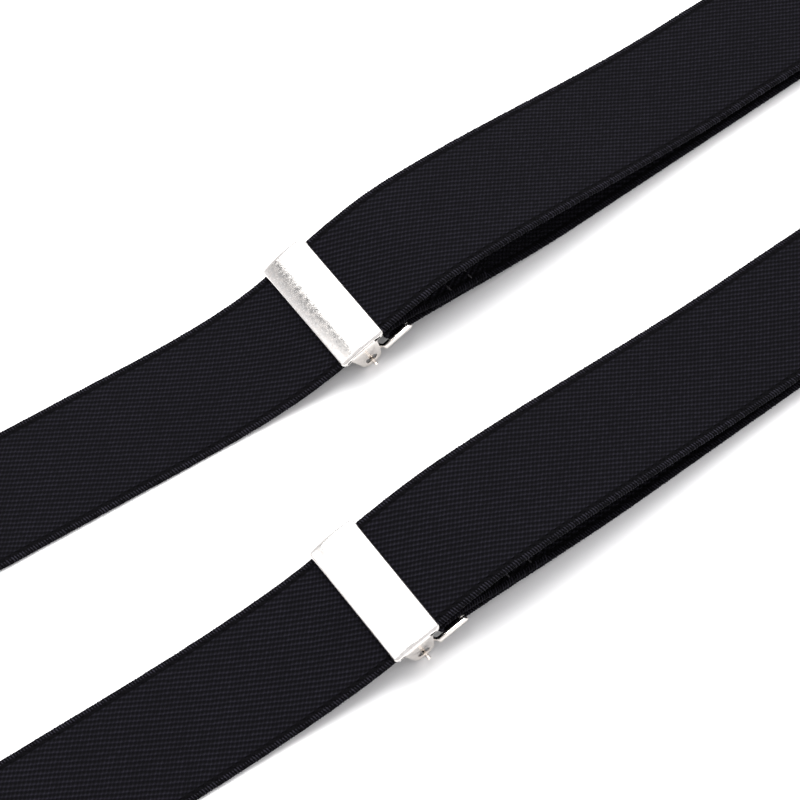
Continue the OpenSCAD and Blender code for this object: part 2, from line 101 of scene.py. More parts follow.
class WebbingSizes(bpy.types.PropertyGroup):
    """Sizes and colours of the elastic webbing."""

    width: size("Width", "Width of the elastic", 35.0 * MM)
    thickness: size("Thickness", "Thickness of the elastic", 1.5 * MM)
    layer_gap: size("Layer gap", "Room between two layers that lie on each other", 0.1 * MM)
    bar_radius: size("Clip bar radius", "Radius of the bar that the elastic turns round", 1.2 * MM)
    fold: size("Sewn fold", "Length folded back and sewn at each end", 27.0 * MM)
    settle: size("Settling length", "Length of the slope behind an adjuster", 60.0 * MM)
    crest: size("Crest length", "Length over which the upper run still rises", 24.0 * MM)
    fall: size("Falling length", "Length over which the upper run comes down again", 97.0 * MM)
    drift_left: FloatProperty(name="Left drift", description="Sideways slope of the left strap",
                              default=0.09)
    drift_right: FloatProperty(name="Right drift", description="Sideways slope of the right strap",
                               default=0.06)
    rib_pitch: size("Selvedge rib pitch", "Distance between two ribs of the selvedge", 0.76 * MM)
    rib_width: size("Selvedge width", "Width of the ribbed selvedge", 2.1 * MM)
    # The raised-yarn colour and the hollow colour below are the two ends of painted light and shade over
    # the twill's beads: lit bead tops, painted shade in the hollows.
    cloth: colour("Cloth", "Colour of the raised yarns", (0.0078, 0.0072, 0.0106))
    hollow_shade: colour("Hollow shade", "Colour between the yarns", (0.0007, 0.0006, 0.0010))


class AdjusterSizes(bpy.types.PropertyGroup):
    """Sizes and colour of the slide adjusters."""

    tilt_left: turned("Left tilt", "Pitch of the left adjuster, front edge up", 19)
    tilt_right: turned("Right tilt", "Pitch of the right adjuster, front edge up", 14)
    cover_width: size("Cover width", "Width of the cover along the strap", 14.0 * MM)
    cover_over: size("Cover overhang", "How far the cover reaches past the ears", 0.1 * MM)
    crown: size("Crown", "Height of the cover's crown", 0.9 * MM)
    sheet: size("Sheet", "Thickness of the sheet metal", 0.5 * MM)
    deck: size("Deck height", "Height of the deck over the pivot", 7.3 * MM)
    ear_radius: size("Ear radius", "Radius of the ear's rounded foot", 3.2 * MM)
    hole_radius: size("Hole radius", "Radius of the hole in each ear", 1.75 * MM)
    nib_radius: size("Nib radius", "Radius of the lever's pivot nib", 0.5 * MM)
    lever: size("Lever length", "Distance from the pivot to the cross bar", 12.6 * MM)
    bar_radius: size("Bar radius", "Radius of the lever's cross bar", 0.9 * MM)
    bar_height: size("Bar height", "Height of the cross bar over the pivot", 0.6 * MM)
    arm: size("Arm thickness", "Thickness of the lever's arms", 1.3 * MM)
    nickel: colour("Nickel", "Colour of the plating", (0.80, 0.785, 0.765))


class PatchSizes(bpy.types.PropertyGroup):
    """Sizes and colours of the leather patch and its seam."""

    corner: size("Corner", "Radius of the patch's corners", 16.0 * MM)
    inset: size("Stitch inset", "Distance from the edge to the seam", 3.2 * MM)
    stitch: size("Stitch pitch", "Distance between two stitches", 2.9 * MM)
    leather: colour("Leather", "Colour of the outer leather", (0.0075, 0.0066, 0.0066))
    suede: colour("Suede", "Colour of the inner leather", (0.050, 0.036, 0.030))
    thread: colour("Thread", "Colour of the sewing thread", (0.060, 0.057, 0.062))


class StageSettings(bpy.types.PropertyGroup):
    """The camera, the floor and the seed."""

    azimuth: turned("Azimuth", "Direction of view, turned from +Y towards +X", 35.9)
    elevation: turned("Elevation", "Height of the camera over the floor, as an angle", 62.0)
    roll: turned("Roll", "Roll of the camera", -1.1)
    distance: size("Distance", "Distance from the camera to the middle of the view", 615.0 * MM)
    lens: FloatProperty(name="Lens", description="Focal length on a 36 mm sensor, in millimetres",
                        default=106.0)
    aim_x: size("Aim along", "Middle of the view, from the left adjuster's pivot", -0.4 * MM)
    aim_y: size("Aim across", "Middle of the view, from the line between the straps", 6.1 * MM)
    floor: colour("Floor", "Colour of the floor", (0.86, 0.86, 0.86))
    seed: IntProperty(name="Seed", description="Seed of everything random", default=7)


def settings():
    """The four groups of sizes: webbing, adjuster, patch, stage."""
    scene = bpy.context.scene
    return scene.webbing_sizes, scene.adjuster_sizes, scene.patch_sizes, scene.stage_settings


# ---------------------------------------------------------------- paths of the elastic

def cubic(a, slope_a, b, slope_b, length, u):
    """Height of a cubic from a to b with end slopes, at u from 0 to 1."""
    return ((2 * u**3 - 3 * u * u + 1) * a + (u**3 - 2 * u * u + u) * length * slope_a
            + (3 * u * u - 2 * u**3) * b + (u**3 - u * u) * length * slope_b)


def ease(distance, flat, length):
    """1 up to a distance, easing to 0 over a length."""
    u = max(0.0, min(1.0, 1 - (distance - flat) / length))
    return u * u * (3 - 2 * u)


def arc(cx, cz, radius, start, end, steps):
    """Points of an arc seen from the side, angles in degrees."""
    angles = [math.radians(start + (end - start) * i / steps) for i in range(steps + 1)]
    return [(cx + radius * math.cos(a), cz + radius * math.sin(a)) for a in angles]


def spread(start, end, steps):
    """Evenly spaced values from start to end."""
    return [start + (end - start) * i / steps for i in range(steps + 1)]


class Lane:
    """The way that one strap takes, worked out from the frame as the solids are."""

    behind_cover = 2 * MM       # straight stretch behind the cover
    drift_length = 110 * MM     # stretch that drifts sideways, and how gently it starts
    drift_ease = 12 * MM
    swing_margin = 3 * MM       # room between the crossing and the swing back to the drift
    cross_margin = 4 * MM       # how far past the overlap the crossing counts
    cross_inset = 20 * MM
    cross_ease = 24 * MM        # lengths over which a strap comes down from the crossing and the patch
    patch_margin = 2 * MM
    patch_ease = 30 * MM
    past_cover = 0.5 * MM       # where the upper run leaves the cover
    crest_rise = 0.6            # share of the pitch that the crest still gains
    lie_slope = -0.005          # how the upper run lies on the lower one
    lie_over = 1.6 * MM
    under_fall = 58 * MM        # length over which the lower run comes down from the lever
    fold_rise = 13 * MM         # length over which the sewn fold comes down from the bar
    loop_slack = 4.2 * MM       # how far the loop hangs behind the bar
    seam_past = 5 * MM          # from the fold's end to the seam of the meshes
    back_loop = 14 * MM         # where the back fold lies down on the layer under it
    back_step = 10 * MM         # length over which the strap steps down off the fold's end

    def __init__(self, side):
        web, adjuster, _, _ = settings()
        self.side = side
        self.sign = 1 if side == "left" else -1
        self.pivot, self.ring, self.back = PIVOT[side], RING[side], BACK[side]
        self.tilt = adjuster.tilt_left if side == "left" else adjuster.tilt_right
        self.drift = web.drift_left if side == "left" else web.drift_right
        self.floor = web.thickness / 2
        self.turn = web.bar_radius + web.layer_gap + web.thickness / 2
        self.cross = abs(math.atan2(self.back.y, PATCH_X - self.back.x))
        self.cross_half = web.width / (2 * math.sin(self.cross)) + self.cross_margin
        self.cover_edge = adjuster.cover_width / 2
        hem = adjuster.deck - web.layer_gap - adjuster.sheet
        self.strap_mid = hem - web.layer_gap - web.thickness / 2

    def tipped(self, along, up):
        """A point of the adjuster's own side view, tipped into place."""
        c, s = math.cos(self.tilt), math.sin(self.tilt)
        return self.pivot.x + along * c - up * s, self.pivot.z + along * s + up * c

    def y(self, x):
        """Middle of the strap behind its adjuster."""
        d = self.pivot.x - self.cover_edge - self.behind_cover - x
        slope = self.sign * math.tan(self.cross)
        if d <= 0:
            return self.pivot.y
        if d <= self.drift_length:
            return self.pivot.y + self.drift * d * d / (d + self.drift_ease)
        swing_end = PATCH_X + self.cross_half + self.swing_margin
        if x < swing_end:
            return slope * (x - PATCH_X)
        n, e = self.drift_length, self.drift_ease
        drift_slope = -self.drift * (n * n + 2 * e * n) / (n + e) ** 2
        length = self.pivot.x - self.cover_edge - self.behind_cover - n - swing_end
        drift_y = self.pivot.y + self.drift * n * n / (n + e)
        return cubic(slope * (swing_end - PATCH_X), slope, drift_y, drift_slope, length,
                     (x - swing_end) / length)

    def heading(self, x):
        """Direction of the strap on the floor, as an angle from +X."""
        return math.atan2(self.y(x + 0.5 * MM) - self.y(x - 0.5 * MM), MM)

    def z(self, x):
        """Height of the middle of the strap behind its adjuster."""
        web = settings()[0]
        entry_x, entry_z = self.tipped(-self.cover_edge - self.behind_cover, self.strap_mid)
        slope = math.tan(self.tilt)
        if x >= entry_x:
            return entry_z + (x - entry_x) * slope
        if x >= entry_x - web.settle:
            u = (x - entry_x + web.settle) / web.settle
            return cubic(self.floor, 0, entry_z, slope, web.settle, u)
        d = abs(x - PATCH_X)
        flat = max(PATCH_HALF_L + self.patch_margin, self.cross_half - self.cross_inset)
        rise = (LEATHER + web.layer_gap) * ease(d, flat, self.patch_ease)
        if self.side == "right":
            rise += (web.thickness + web.layer_gap) * ease(d, self.cross_half, self.cross_ease)
        return self.floor + rise

    def run_z(self, x):
        """Height of the middle of the upper run in front of the adjuster."""
        web = settings()[0]
        exit_x, exit_z = self.tipped(self.cover_edge + self.past_cover, self.strap_mid)
        slope = math.tan(self.tilt)
        crest_z = exit_z + self.crest_rise * web.crest * slope
        crest_x = exit_x + web.crest
        fall_x = crest_x + web.fall
        low = self.ring.z + self.turn
        over = low + self.lie_over
        rest = self.ring.x - fall_x
        if x <= exit_x:
            return exit_z + (x - exit_x) * slope
        if x <= crest_x:
            return cubic(exit_z, slope, crest_z, 0, web.crest, (x - exit_x) / web.crest)
        if x <= fall_x:
            return cubic(crest_z, 0, over, self.lie_slope, web.fall, (x - crest_x) / web.fall)
        return cubic(over, self.lie_slope, low, 0, rest, (x - fall_x) / rest)

    def back_stations(self):
        """Fold, turn round the back clip's bar, and upper layer, as (x, y, z, heading)."""
        web = settings()[0]
        low, top = self.floor, self.floor + web.thickness + web.layer_gap
        side_view = [(x, low) for x in spread(web.fold, 2 * MM, 10)]
        side_view += arc(0, self.back.z, self.turn, 270, 90, 18)
        loop, step = self.back_loop, self.back_step
        side_view += [(loop * u, cubic(self.back.z + self.turn, 0, top, 0, loop, u))
                      for u in spread(0.1, 1, 9)]
        side_view += [(web.fold + MM + step * u, cubic(top, 0, low, 0, step, u))
                      for u in spread(0, 1, 8)]
        h = self.sign * self.cross
        return [(self.back.x + s * math.cos(h), self.back.y + s * math.sin(h), z, h)
                for s, z in side_view]

    def strap_stations(self):
        """The rear run, from the back clip to the adjuster."""
        web = settings()[0]
        first = self.back.x + (web.fold + self.back_loop) * math.cos(self.cross)
        turn = self.pivot.x - web.settle - self.back_loop
        last = self.tipped(-0.2 * MM, self.strap_mid)[0]
        xs = spread(first, turn, 300) + spread(turn, last, 64)[1:]
        return self.back_stations() + [(x, self.y(x), self.z(x), self.heading(x)) for x in xs]

    def run_stations(self):
        """The upper run, from the adjuster to the front clip."""
        first = self.tipped(0.2 * MM, self.strap_mid)[0]
        return [(x, self.pivot.y, self.run_z(x), 0) for x in spread(first, self.ring.x, 150)]

    def under_z(self, x):
        """Height of the lower run between the lever's bar and the floor."""
        bar_x, low = self.lever_bar()
        if x <= bar_x:
            return low
        if x >= bar_x + self.under_fall:
            return self.floor
        return cubic(low, -math.tan(self.tilt) * 0.2, self.floor, 0, self.under_fall,
                     (x - bar_x) / self.under_fall)

    def lever_turn(self):
        """Radius of the elastic's middle round the lever's bar."""
        web, adjuster, _, _ = settings()
        return adjuster.bar_radius + web.layer_gap + web.thickness / 2

    def lever_bar(self):
        """The lever's cross bar along the strap, and the middle of the elastic under it."""
        adjuster = settings()[1]
        bar_x, bar_z = self.tipped(adjuster.lever, adjuster.bar_height)
        return bar_x, bar_z - self.lever_turn()

    def seam_x(self):
        """Where the lower run's looped end meets its long stretch."""
        return self.lever_bar()[0] + settings()[0].fold + self.seam_past

    def loop_stations(self):
        """The sewn fold, the turn round the lever's bar and the start of the lower run."""
        web = settings()[0]
        bar_x, low = self.lever_bar()
        radius = self.lever_turn()

        def fold_z(x):
            lie = self.under_z(x) + web.thickness + web.layer_gap
            u = (x - bar_x) / self.fold_rise
            return lie if u >= 1 else cubic(low + 2 * radius, 0, lie, -0.1, self.fold_rise, u)

        fold = [(x, fold_z(x)) for x in spread(bar_x + web.fold, bar_x + MM, 18)]
        loop = arc(bar_x - self.loop_slack, low + radius, radius, 90, 270, 18)
        under = [(x, self.under_z(x)) for x in spread(bar_x, self.seam_x(), 24)]
        return [(x, self.pivot.y, z, 0) for x, z in fold + loop + under]

    def return_stations(self):
        """The lower run from the seam to the front clip's bar and round it."""
        long_run = [(x, self.under_z(x)) for x in spread(self.seam_x(), self.ring.x, 110)]
        ring = arc(self.ring.x, self.ring.z, self.turn, 278, 445, 18)
        return [(x, self.pivot.y, z, 0) for x, z in long_run + ring]


# ---------------------------------------------------------------- meshes

def link(name, mesh, *materials):
    """A new object in the scene with that mesh and those materials."""
    piece = bpy.data.objects.new(name, mesh)
    bpy.context.scene.collection.objects.link(piece)
    for material in materials:
        piece.data.materials.append(material)
    return piece


def finish_mesh(mesh, angle=40):
    """Smooth shading, with the edges sharper than an angle left crisp."""
    mesh.polygons.foreach_set("use_smooth", [True] * len(mesh.polygons))
    mesh.set_sharp_from_angle(angle=math.radians(angle))
    mesh.update()
    return mesh


def frames(stations):
    """(point, side, up) of each station of a strip."""
    points = [Vector(s[:3]) for s in stations]
    last = len(points) - 1
    result = []
    for i, (point, station) in enumerate(zip(points, stations)):
        ahead = (points[min(i + 1, last)] - points[max(i - 1, 0)]).normalized()
        across = Vector((-math.sin(station[3]), math.cos(station[3]), 0))
        result.append((point, across, ahead.cross(across).normalized()))
    return result


def along(stations, start=0.0):
    """Length along the strip at each station."""
    steps = [(Vector(b[:3]) - Vector(a[:3])).length for a, b in zip(stations, stations[1:])]
    return [start + sum(steps[:i]) for i in range(len(stations))]


def section(web):
    """The elastic's cross section as (across, up), thinner where the selvedge ribs sit."""
    w, t = web.width / 2 - 0.2 * MM, web.thickness / 2
    rib = web.rib_width
    top = [(0, t - 0.03 * MM), (w * 0.3, t - 0.03 * MM), (w * 0.6, t - 0.03 * MM),
           (w - rib - 1.2 * MM, t - 0.04 * MM), (w - rib - 0.3 * MM, t - 0.06 * MM),
           (w - rib + 0.1 * MM, t - 0.14 * MM), (w - rib + 0.5 * MM, t - 0.10 * MM),
           (w - 0.5 * MM, t - 0.10 * MM), (w - 0.15 * MM, t - 0.25 * MM), (w, t - 0.5 * MM)]
    right = top + [(w + 0.04 * MM, 0)] + [(y, -z) for y, z in reversed(top)]
    return right + [(-y, z) for y, z in reversed(right[1:-1])]


def strip(name, stations, material, start=0.0, seed=0.0):
    """The elastic along its stations: a closed mesh with its length and width in its UV map."""
    web = settings()[0]
    ring = section(web)
    n = len(ring)
    lengths = along(stations, start)
    verts = []
    for (point, side, up), length in zip(frames(stations), lengths):
        for y, z in ring:
            wobble = 0.11 * MM * noise.noise(Vector((length * 260, math.copysign(4, y), seed)))
            wide = y * (1 + wobble / (web.width / 2)) if abs(y) > web.width / 4 else y
            verts.append(point + side * wide + up * z)
    faces = [[i * n + k, i * n + (k + 1) % n, (i + 1) * n + (k + 1) % n, (i + 1) * n + k]
             for i in range(len(stations) - 1) for k in range(n)]
    last = (len(stations) - 1) * n
    faces += [list(range(n))[::-1], [last + k for k in range(n)]]
    mesh = bpy.data.meshes.new(name)
    mesh.from_pydata(verts, [], faces)
    width = [y + math.copysign(abs(abs(z) - web.thickness / 2), y) for y, z in ring]
    layer = mesh.uv_layers.new(name="cloth")
    loop_vertex = np.zeros(len(mesh.loops), int)
    mesh.loops.foreach_get("vertex_index", loop_vertex)
    values = np.empty((len(loop_vertex), 2), np.float32)
    values[:, 0] = np.array(lengths)[loop_vertex // n]
    values[:, 1] = np.array(width)[loop_vertex % n]
    layer.data.foreach_set("uv", values.ravel())
    bm = bmesh.new()
    bm.from_mesh(mesh)
    bmesh.ops.recalc_face_normals(bm, faces=bm.faces)
    bm.to_mesh(mesh)
    bm.free()
    return link(name, finish_mesh(mesh, 60), material)


def polyline(name, paths):
    """Edges along (point, up) paths, with the up direction kept for what is set on them."""
    verts, edges, ups = [], [], []
    for path in paths:
        first = len(verts)
        verts += [point for point, _ in path]
        ups += [up for _, up in path]
        edges += [(i, i + 1) for i in range(first, len(verts) - 1)]
    mesh = bpy.data.meshes.new(name)
    mesh.from_pydata(verts, edges, [])
    attribute = mesh.attributes.new("up", "FLOAT_VECTOR", "POINT")
    attribute.data.foreach_set("vector", np.array(ups, np.float32).ravel())
    return link(name, mesh)


def selvedge_paths(stations, web):
    """The middle of the ribbed cord along each edge of a strip."""
    reach = web.width / 2 - web.rib_width / 2
    rows = frames(stations)
    return [[(point + side * reach * s, up) for point, side, up in rows] for s in (-1, 1)]


# ---------------------------------------------------------------- repeating pieces by geometry nodes

def row_tree():
    """Geometry nodes that set a bead at every step along the paths, for stitches and selvedge ribs."""
    tree = bpy.data.node_groups.get("Beads along a path")
    if tree:
        return tree
    tree = bpy.data.node_groups.new("Beads along a path", "GeometryNodeTree")
    face = tree.interface
    face.new_socket("Geometry", in_out="INPUT", socket_type="NodeSocketGeometry")
    for name, default in (("Pitch", 0.003), ("Length", 0.002), ("Width", 0.0006), ("Height", 0.0004),
                          ("Lean", 0.0)):
        face.new_socket(name, in_out="INPUT", socket_type="NodeSocketFloat").default_value = default
    for name, default in (("Segments", 8), ("Rings", 4), ("Seed", 7)):
        face.new_socket(name, in_out="INPUT", socket_type="NodeSocketInt").default_value = default
    face.new_socket("Material", in_out="INPUT", socket_type="NodeSocketMaterial")
    face.new_socket("Geometry", in_out="OUTPUT", socket_type="NodeSocketGeometry")
    make = tree.nodes.new
    inputs, outputs = make("NodeGroupInput"), make("NodeGroupOutput")
    to_curve, resample = make("GeometryNodeMeshToCurve"), make("GeometryNodeResampleCurve")
    resample.mode = "LENGTH"
    tangent, up = make("GeometryNodeInputTangent"), make("GeometryNodeInputNamedAttribute")
    up.data_type = "FLOAT_VECTOR"
    up.inputs["Name"].default_value = "up"
    lengthwise, upright = [make("FunctionNodeAlignRotationToVector") for _ in range(2)]
    lengthwise.axis, upright.axis, upright.pivot_axis = "X", "Z", "X"
    lean, to_rotation = make("ShaderNodeCombineXYZ"), make("FunctionNodeEulerToRotation")
    leaned = make("FunctionNodeRotateRotation")
    leaned.rotation_space = "LOCAL"
    ball, lay = make("GeometryNodeMeshUVSphere"), make("GeometryNodeTransform")
    ball.inputs["Radius"].default_value = 0.5
    lay.inputs["Rotation"].default_value = (0, math.pi / 2, 0)
    extent, vary = make("ShaderNodeCombineXYZ"), make("FunctionNodeRandomValue")
    vary.inputs[2].default_value, vary.inputs[3].default_value = 0.92, 1.06
    scale = make("ShaderNodeVectorMath")
    scale.operation = "SCALE"
    place, real = make("GeometryNodeInstanceOnPoints"), make("GeometryNodeRealizeInstances")
    smooth, paint = make("GeometryNodeSetShadeSmooth"), make("GeometryNodeSetMaterial")
    for source, output, target, socket in (
            (inputs, "Geometry", to_curve, "Mesh"), (to_curve, "Curve", resample, "Curve"),
            (inputs, "Pitch", resample, "Length"),
            (tangent, "Tangent", lengthwise, "Vector"), (lengthwise, "Rotation", upright, "Rotation"),
            (up, "Attribute", upright, "Vector"),
            (inputs, "Lean", lean, "Z"), (lean, "Vector", to_rotation, "Euler"),
            (upright, "Rotation", leaned, "Rotation"), (to_rotation, "Rotation", leaned, "Rotate By"),
            (inputs, "Segments", ball, "Segments"), (inputs, "Rings", ball, "Rings"),
            (ball, "Mesh", lay, "Geometry"),
            (inputs, "Seed", vary, "Seed"), (inputs, "Length", extent, "X"),
            (inputs, "Width", extent, "Y"), (inputs, "Height", extent, "Z"),
            (extent, "Vector", scale, 0), (vary, 1, scale, "Scale"),
            (resample, "Curve", place, "Points"), (lay, "Geometry", place, "Instance"),
            (leaned, "Rotation", place, "Rotation"), (scale, "Vector", place, "Scale"),
            (place, "Instances", real, "Geometry"), (real, "Geometry", smooth, "Geometry"),
            (smooth, "Geometry", paint, "Geometry"), (inputs, "Material", paint, "Material"),
            (paint, "Geometry", outputs, "Geometry")):
        tree.links.new(source.outputs[output], target.inputs[socket])
    return tree


def beads(name, paths, material, **values):
    """Beads along the paths, as a plain mesh."""
    piece = polyline(name, paths)
    modifier = piece.modifiers.new("Beads", "NODES")
    modifier.node_group = row_tree()
    values = {"Seed": settings()[3].seed, "Material": material, **values}
    for item in modifier.node_group.interface.items_tree:
        if item.in_out == "INPUT" and item.name in values:
            modifier[item.identifier] = values[item.name]
    return made_real(piece, material)


def made_real(piece, material):
    """Turns what an object's modifiers make into its own plain mesh."""
    bpy.context.view_layer.update()
    evaluated = piece.evaluated_get(bpy.context.evaluated_depsgraph_get())
    mesh = bpy.data.meshes.new_from_object(evaluated)
    piece.modifiers.clear()
    piece.data = mesh
    mesh.materials.clear()
    mesh.materials.append(material)
    if not mesh.polygons:
        raise RuntimeError(f"{piece.name} came out empty")
    return piece


# ---------------------------------------------------------------- sheet metal

def rounded(points, radii, steps=6):
    """A closed outline with its corners rounded, each by its own radius."""
    result = []
    n = len(points)
    for i, radius in enumerate(radii):
        corner = Vector(points[i])
        back, ahead = (Vector(points[i - 1]) - corner), (Vector(points[(i + 1) % n]) - corner)
        if radius <= 0:
            result.append(corner)
            continue
        angle = back.angle(ahead)
        cut = min(radius / math.tan(angle / 2), back.length / 2, ahead.length / 2)
        start, end = corner + back.normalized() * cut, corner + ahead.normalized() * cut
        for k in range(steps + 1):
            u = k / steps
            result.append(start * (1 - u) ** 2 + corner * 2 * u * (1 - u) + end * u * u)
    return result


def circle(x, y, radius, steps=36):
    """Points of a full circle."""
    angles = [2 * math.pi * i / steps for i in range(steps)]
    return [Vector((x + radius * math.cos(a), y + radius * math.sin(a))) for a in angles]


def stamped(outlines, thickness, rim):
    """A flat plate in XY about Z = 0 with rounded rims: first its outline, then its holes."""
    bm = bmesh.new()
    half = thickness / 2
    rows = [(rim, -half), (rim * 0.3, -half + rim * 0.3), (0, -half + rim)]
    rows += [(inset, -z) for inset, z in reversed(rows)]
    rims = []
    for k, outline in enumerate(outlines):
        points = [Vector(p) for p in outline]
        area = sum(a.x * b.y - b.x * a.y for a, b in zip(points, points[1:] + points[:1]))
        if (area > 0) != (k == 0):
            points.reverse()
        n = len(points)
        inward = []
        for i, point in enumerate(points):
            ahead = (points[(i + 1) % n] - point).normalized()
            behind = (point - points[i - 1]).normalized()
            middle = (ahead + behind).normalized()
            stretch = max(0.5, math.sqrt(max(0.0, (1 + ahead.dot(behind)) / 2)))
            inward.append(Vector((-middle.y, middle.x)) / stretch)
        rings = [[bm.verts.new((*(p + d * inset), z)) for p, d in zip(points, inward)]
                 for inset, z in rows]
        walls(bm, rings)
        rims.append((rings[0], rings[-1]))
    for face in (0, 1):
        edges = [bm.edges.get((ring[face][i - 1], ring[face][i]))
                 for ring in rims for i in range(len(ring[face]))]
        bmesh.ops.triangle_fill(bm, use_beauty=True, edges=edges)
    bmesh.ops.recalc_face_normals(bm, faces=bm.faces)
    return bm


def cut_lines(bm, axis, values):
    """Extra edges across a plate, so that it can bend there."""
    normal = Vector([float(i == axis) for i in range(3)])
    for value in values:
        geometry = bm.verts[:] + bm.edges[:] + bm.faces[:]
        bmesh.ops.bisect_plane(bm, geom=geometry, plane_co=normal * value, plane_no=normal, dist=1e-7)


def folded_ends(bm, start, radius, direction):
    """Folds both ends of a plate along Y by a right angle, down (-1) or up (1), from |y| = start."""
    quarter = radius * math.pi / 2
    cuts = [start + quarter * k / 6 for k in range(7)]
    cut_lines(bm, 1, cuts + [-c for c in cuts])
    for vert in bm.verts:
        x, y, n = vert.co
        past = abs(y) - start
        if past <= 0:
            continue
        out = radius - n * direction
        angle = min(past, quarter) / radius
        reach = start + out * math.sin(angle)
        drop = radius - out * math.cos(angle) + max(0.0, past - quarter)
        vert.co = (x, math.copysign(reach, y), direction * drop)
    return bm


def walls(bm, rings):
    """Faces between each ring of points and the next."""
    n = len(rings[0])
    for low, high in zip(rings, rings[1:]):
        for k in range(n):
            bm.faces.new((low[k], low[(k + 1) % n], high[(k + 1) % n], high[k]))


def placed(bm, matrix):
    """The same mesh, moved by a matrix."""
    bmesh.ops.transform(bm, matrix=matrix, verts=bm.verts)
    return bm


def joined(name, parts, material, angle=35):
    """One object from several closed meshes."""
    mesh = bpy.data.meshes.new(name)
    whole = bmesh.new()
    for bm in parts:
        part = bpy.data.meshes.new("part")
        bm.to_mesh(part)
        bm.free()
        whole.from_mesh(part)
        bpy.data.meshes.remove(part)
    whole.to_mesh(mesh)
    whole.free()
    return link(name, finish_mesh(mesh, angle), material)


def rod(start, end, radius, rim, segments=24):
    """A round bar between two points with its ends rounded."""
    bm = bmesh.new()
    start, end = Vector(start), Vector(end)
    length = (end - start).length
    steps = [(0, radius - rim)] + [(rim * (1 - math.cos(a)), radius - rim + rim * math.sin(a))
                                   for a in (math.pi / 6, math.pi / 3, math.pi / 2)]
    profile = steps + [(length - z, r) for z, r in reversed(steps)]
    angles = [2 * math.pi * k / segments for k in range(segments)]
    rings = [[bm.verts.new((r * math.cos(a), r * math.sin(a), z)) for a in angles] for z, r in profile]
    walls(bm, rings)
    bm.faces.new(rings[0][::-1])
    bm.faces.new(rings[-1])
    turn = UP.rotation_difference(end - start).to_matrix().to_4x4()
    return placed(bm, Matrix.Translation(start) @ turn)


def thickened(line, thickness, steps=3):
    """The closed outline of a sheet, from the line along its middle, with rounded rims."""
    points = [Vector(p) for p in line]
    normals = []
    for i in range(len(points)):
        ahead = (points[min(i + 1, len(points) - 1)] - points[max(i - 1, 0)]).normalized()
        normals.append(Vector((-ahead.y, ahead.x)))
    half = thickness / 2
    left = [p + n * half for p, n in zip(points, normals)]
    right = [p - n * half for p, n in zip(points, normals)]

    def cap(centre, normal, sign):
        tangent = Vector((normal.y, -normal.x)) * sign
        angles = [math.pi * (k + 1) / (steps + 1) for k in range(steps)]
        return [centre + normal * half * math.cos(a) * sign + tangent * half * math.sin(a)
                for a in angles]

    return left + cap(points[-1], normals[-1], 1) + right[::-1] + cap(points[0], normals[0], -1)


def in_adjuster(side):
    """Places a mesh drawn in the adjuster's own frame."""
    adjuster = settings()[1]
    tilt = adjuster.tilt_left if side == "left" else adjuster.tilt_right
    return Matrix.Translation(PIVOT[side]) @ Matrix.Rotation(-tilt, 4, "Y")


def ear_inside():
    """Half the distance between the insides of the two ears."""
    return settings()[0].width / 2 + 0.1 * MM


def cover_mesh():
    """Crowned sheet with rolled long edges, its corners rounded in plan."""
    _, sizes, _, _ = settings()
    half, sheet = sizes.cover_width / 2 - sizes.sheet / 2, sizes.sheet
    hem = sizes.deck - 0.1 * MM - sheet / 2
    edge = sizes.deck + sheet + 0.1 * MM + sheet / 2
    hem_width, hem_bend, edge_bend = 2.4 * MM, 0.45 * MM, 0.8 * MM
    corners = [(half - hem_width, hem), (half, hem), (half, edge)]
    crown = [(half * (1 - 2 * u), edge + sizes.crown * (1 - (1 - 2 * u) ** 2))
             for u in spread(0.06, 0.94, 22)]
    right = rounded([corners[0], corners[1], corners[2], crown[0]], [0, hem_bend, edge_bend, 0])
    left = [Vector((-p.x, p.y)) for p in reversed(right)]
    line = right + [Vector(c) for c in crown[1:-1]] + left
    outline = thickened(line, sheet)
    reach = ear_inside() + sheet + sizes.cover_over
    corner, rim, turn_down = 1.1 * MM, 0.12 * MM, 1.0 * MM
    ends = [(reach - turn_down * (1 - u), 0.0, 0.0) for u in (0, 0.15)]
    ends += [(reach - corner * (1 - math.sin(a)), corner * (1 - math.cos(a)), 0.0)
             for a in spread(0, 1.4, 8)]
    ends.append((reach - rim, corner, 0.0))
    ends.append((reach, corner + rim, rim))
    stations = [(-y, inset, sink) for y, inset, sink in reversed(ends)] + ends
    bm = bmesh.new()
    rings = []
    inner = thickened(line, sheet - 2 * rim)
    for y, inset, sink in stations:
        shape = inner if sink else outline
        squeeze = 1 - (inset - sink) / (half + sheet / 2)
        past = max(0.0, (abs(y) - reach + turn_down) / turn_down)
        drop = turn_down * 0.5 * (1 - math.sqrt(max(0.0, 1 - past * past)))
        rings.append([bm.verts.new((p.x * squeeze, y,
                                    p.y - drop * max(0.0, min(1.0, (p.y - hem) / (edge - hem)))))
                      for p in shape])
    walls(bm, rings)
    bm.faces.new(rings[0][::-1])
    bm.faces.new(rings[-1])
    bmesh.ops.triangulate(bm, faces=[f for f in bm.faces if len(f.verts) > 4])
    bmesh.ops.recalc_face_normals(bm, faces=bm.faces)
    return bm


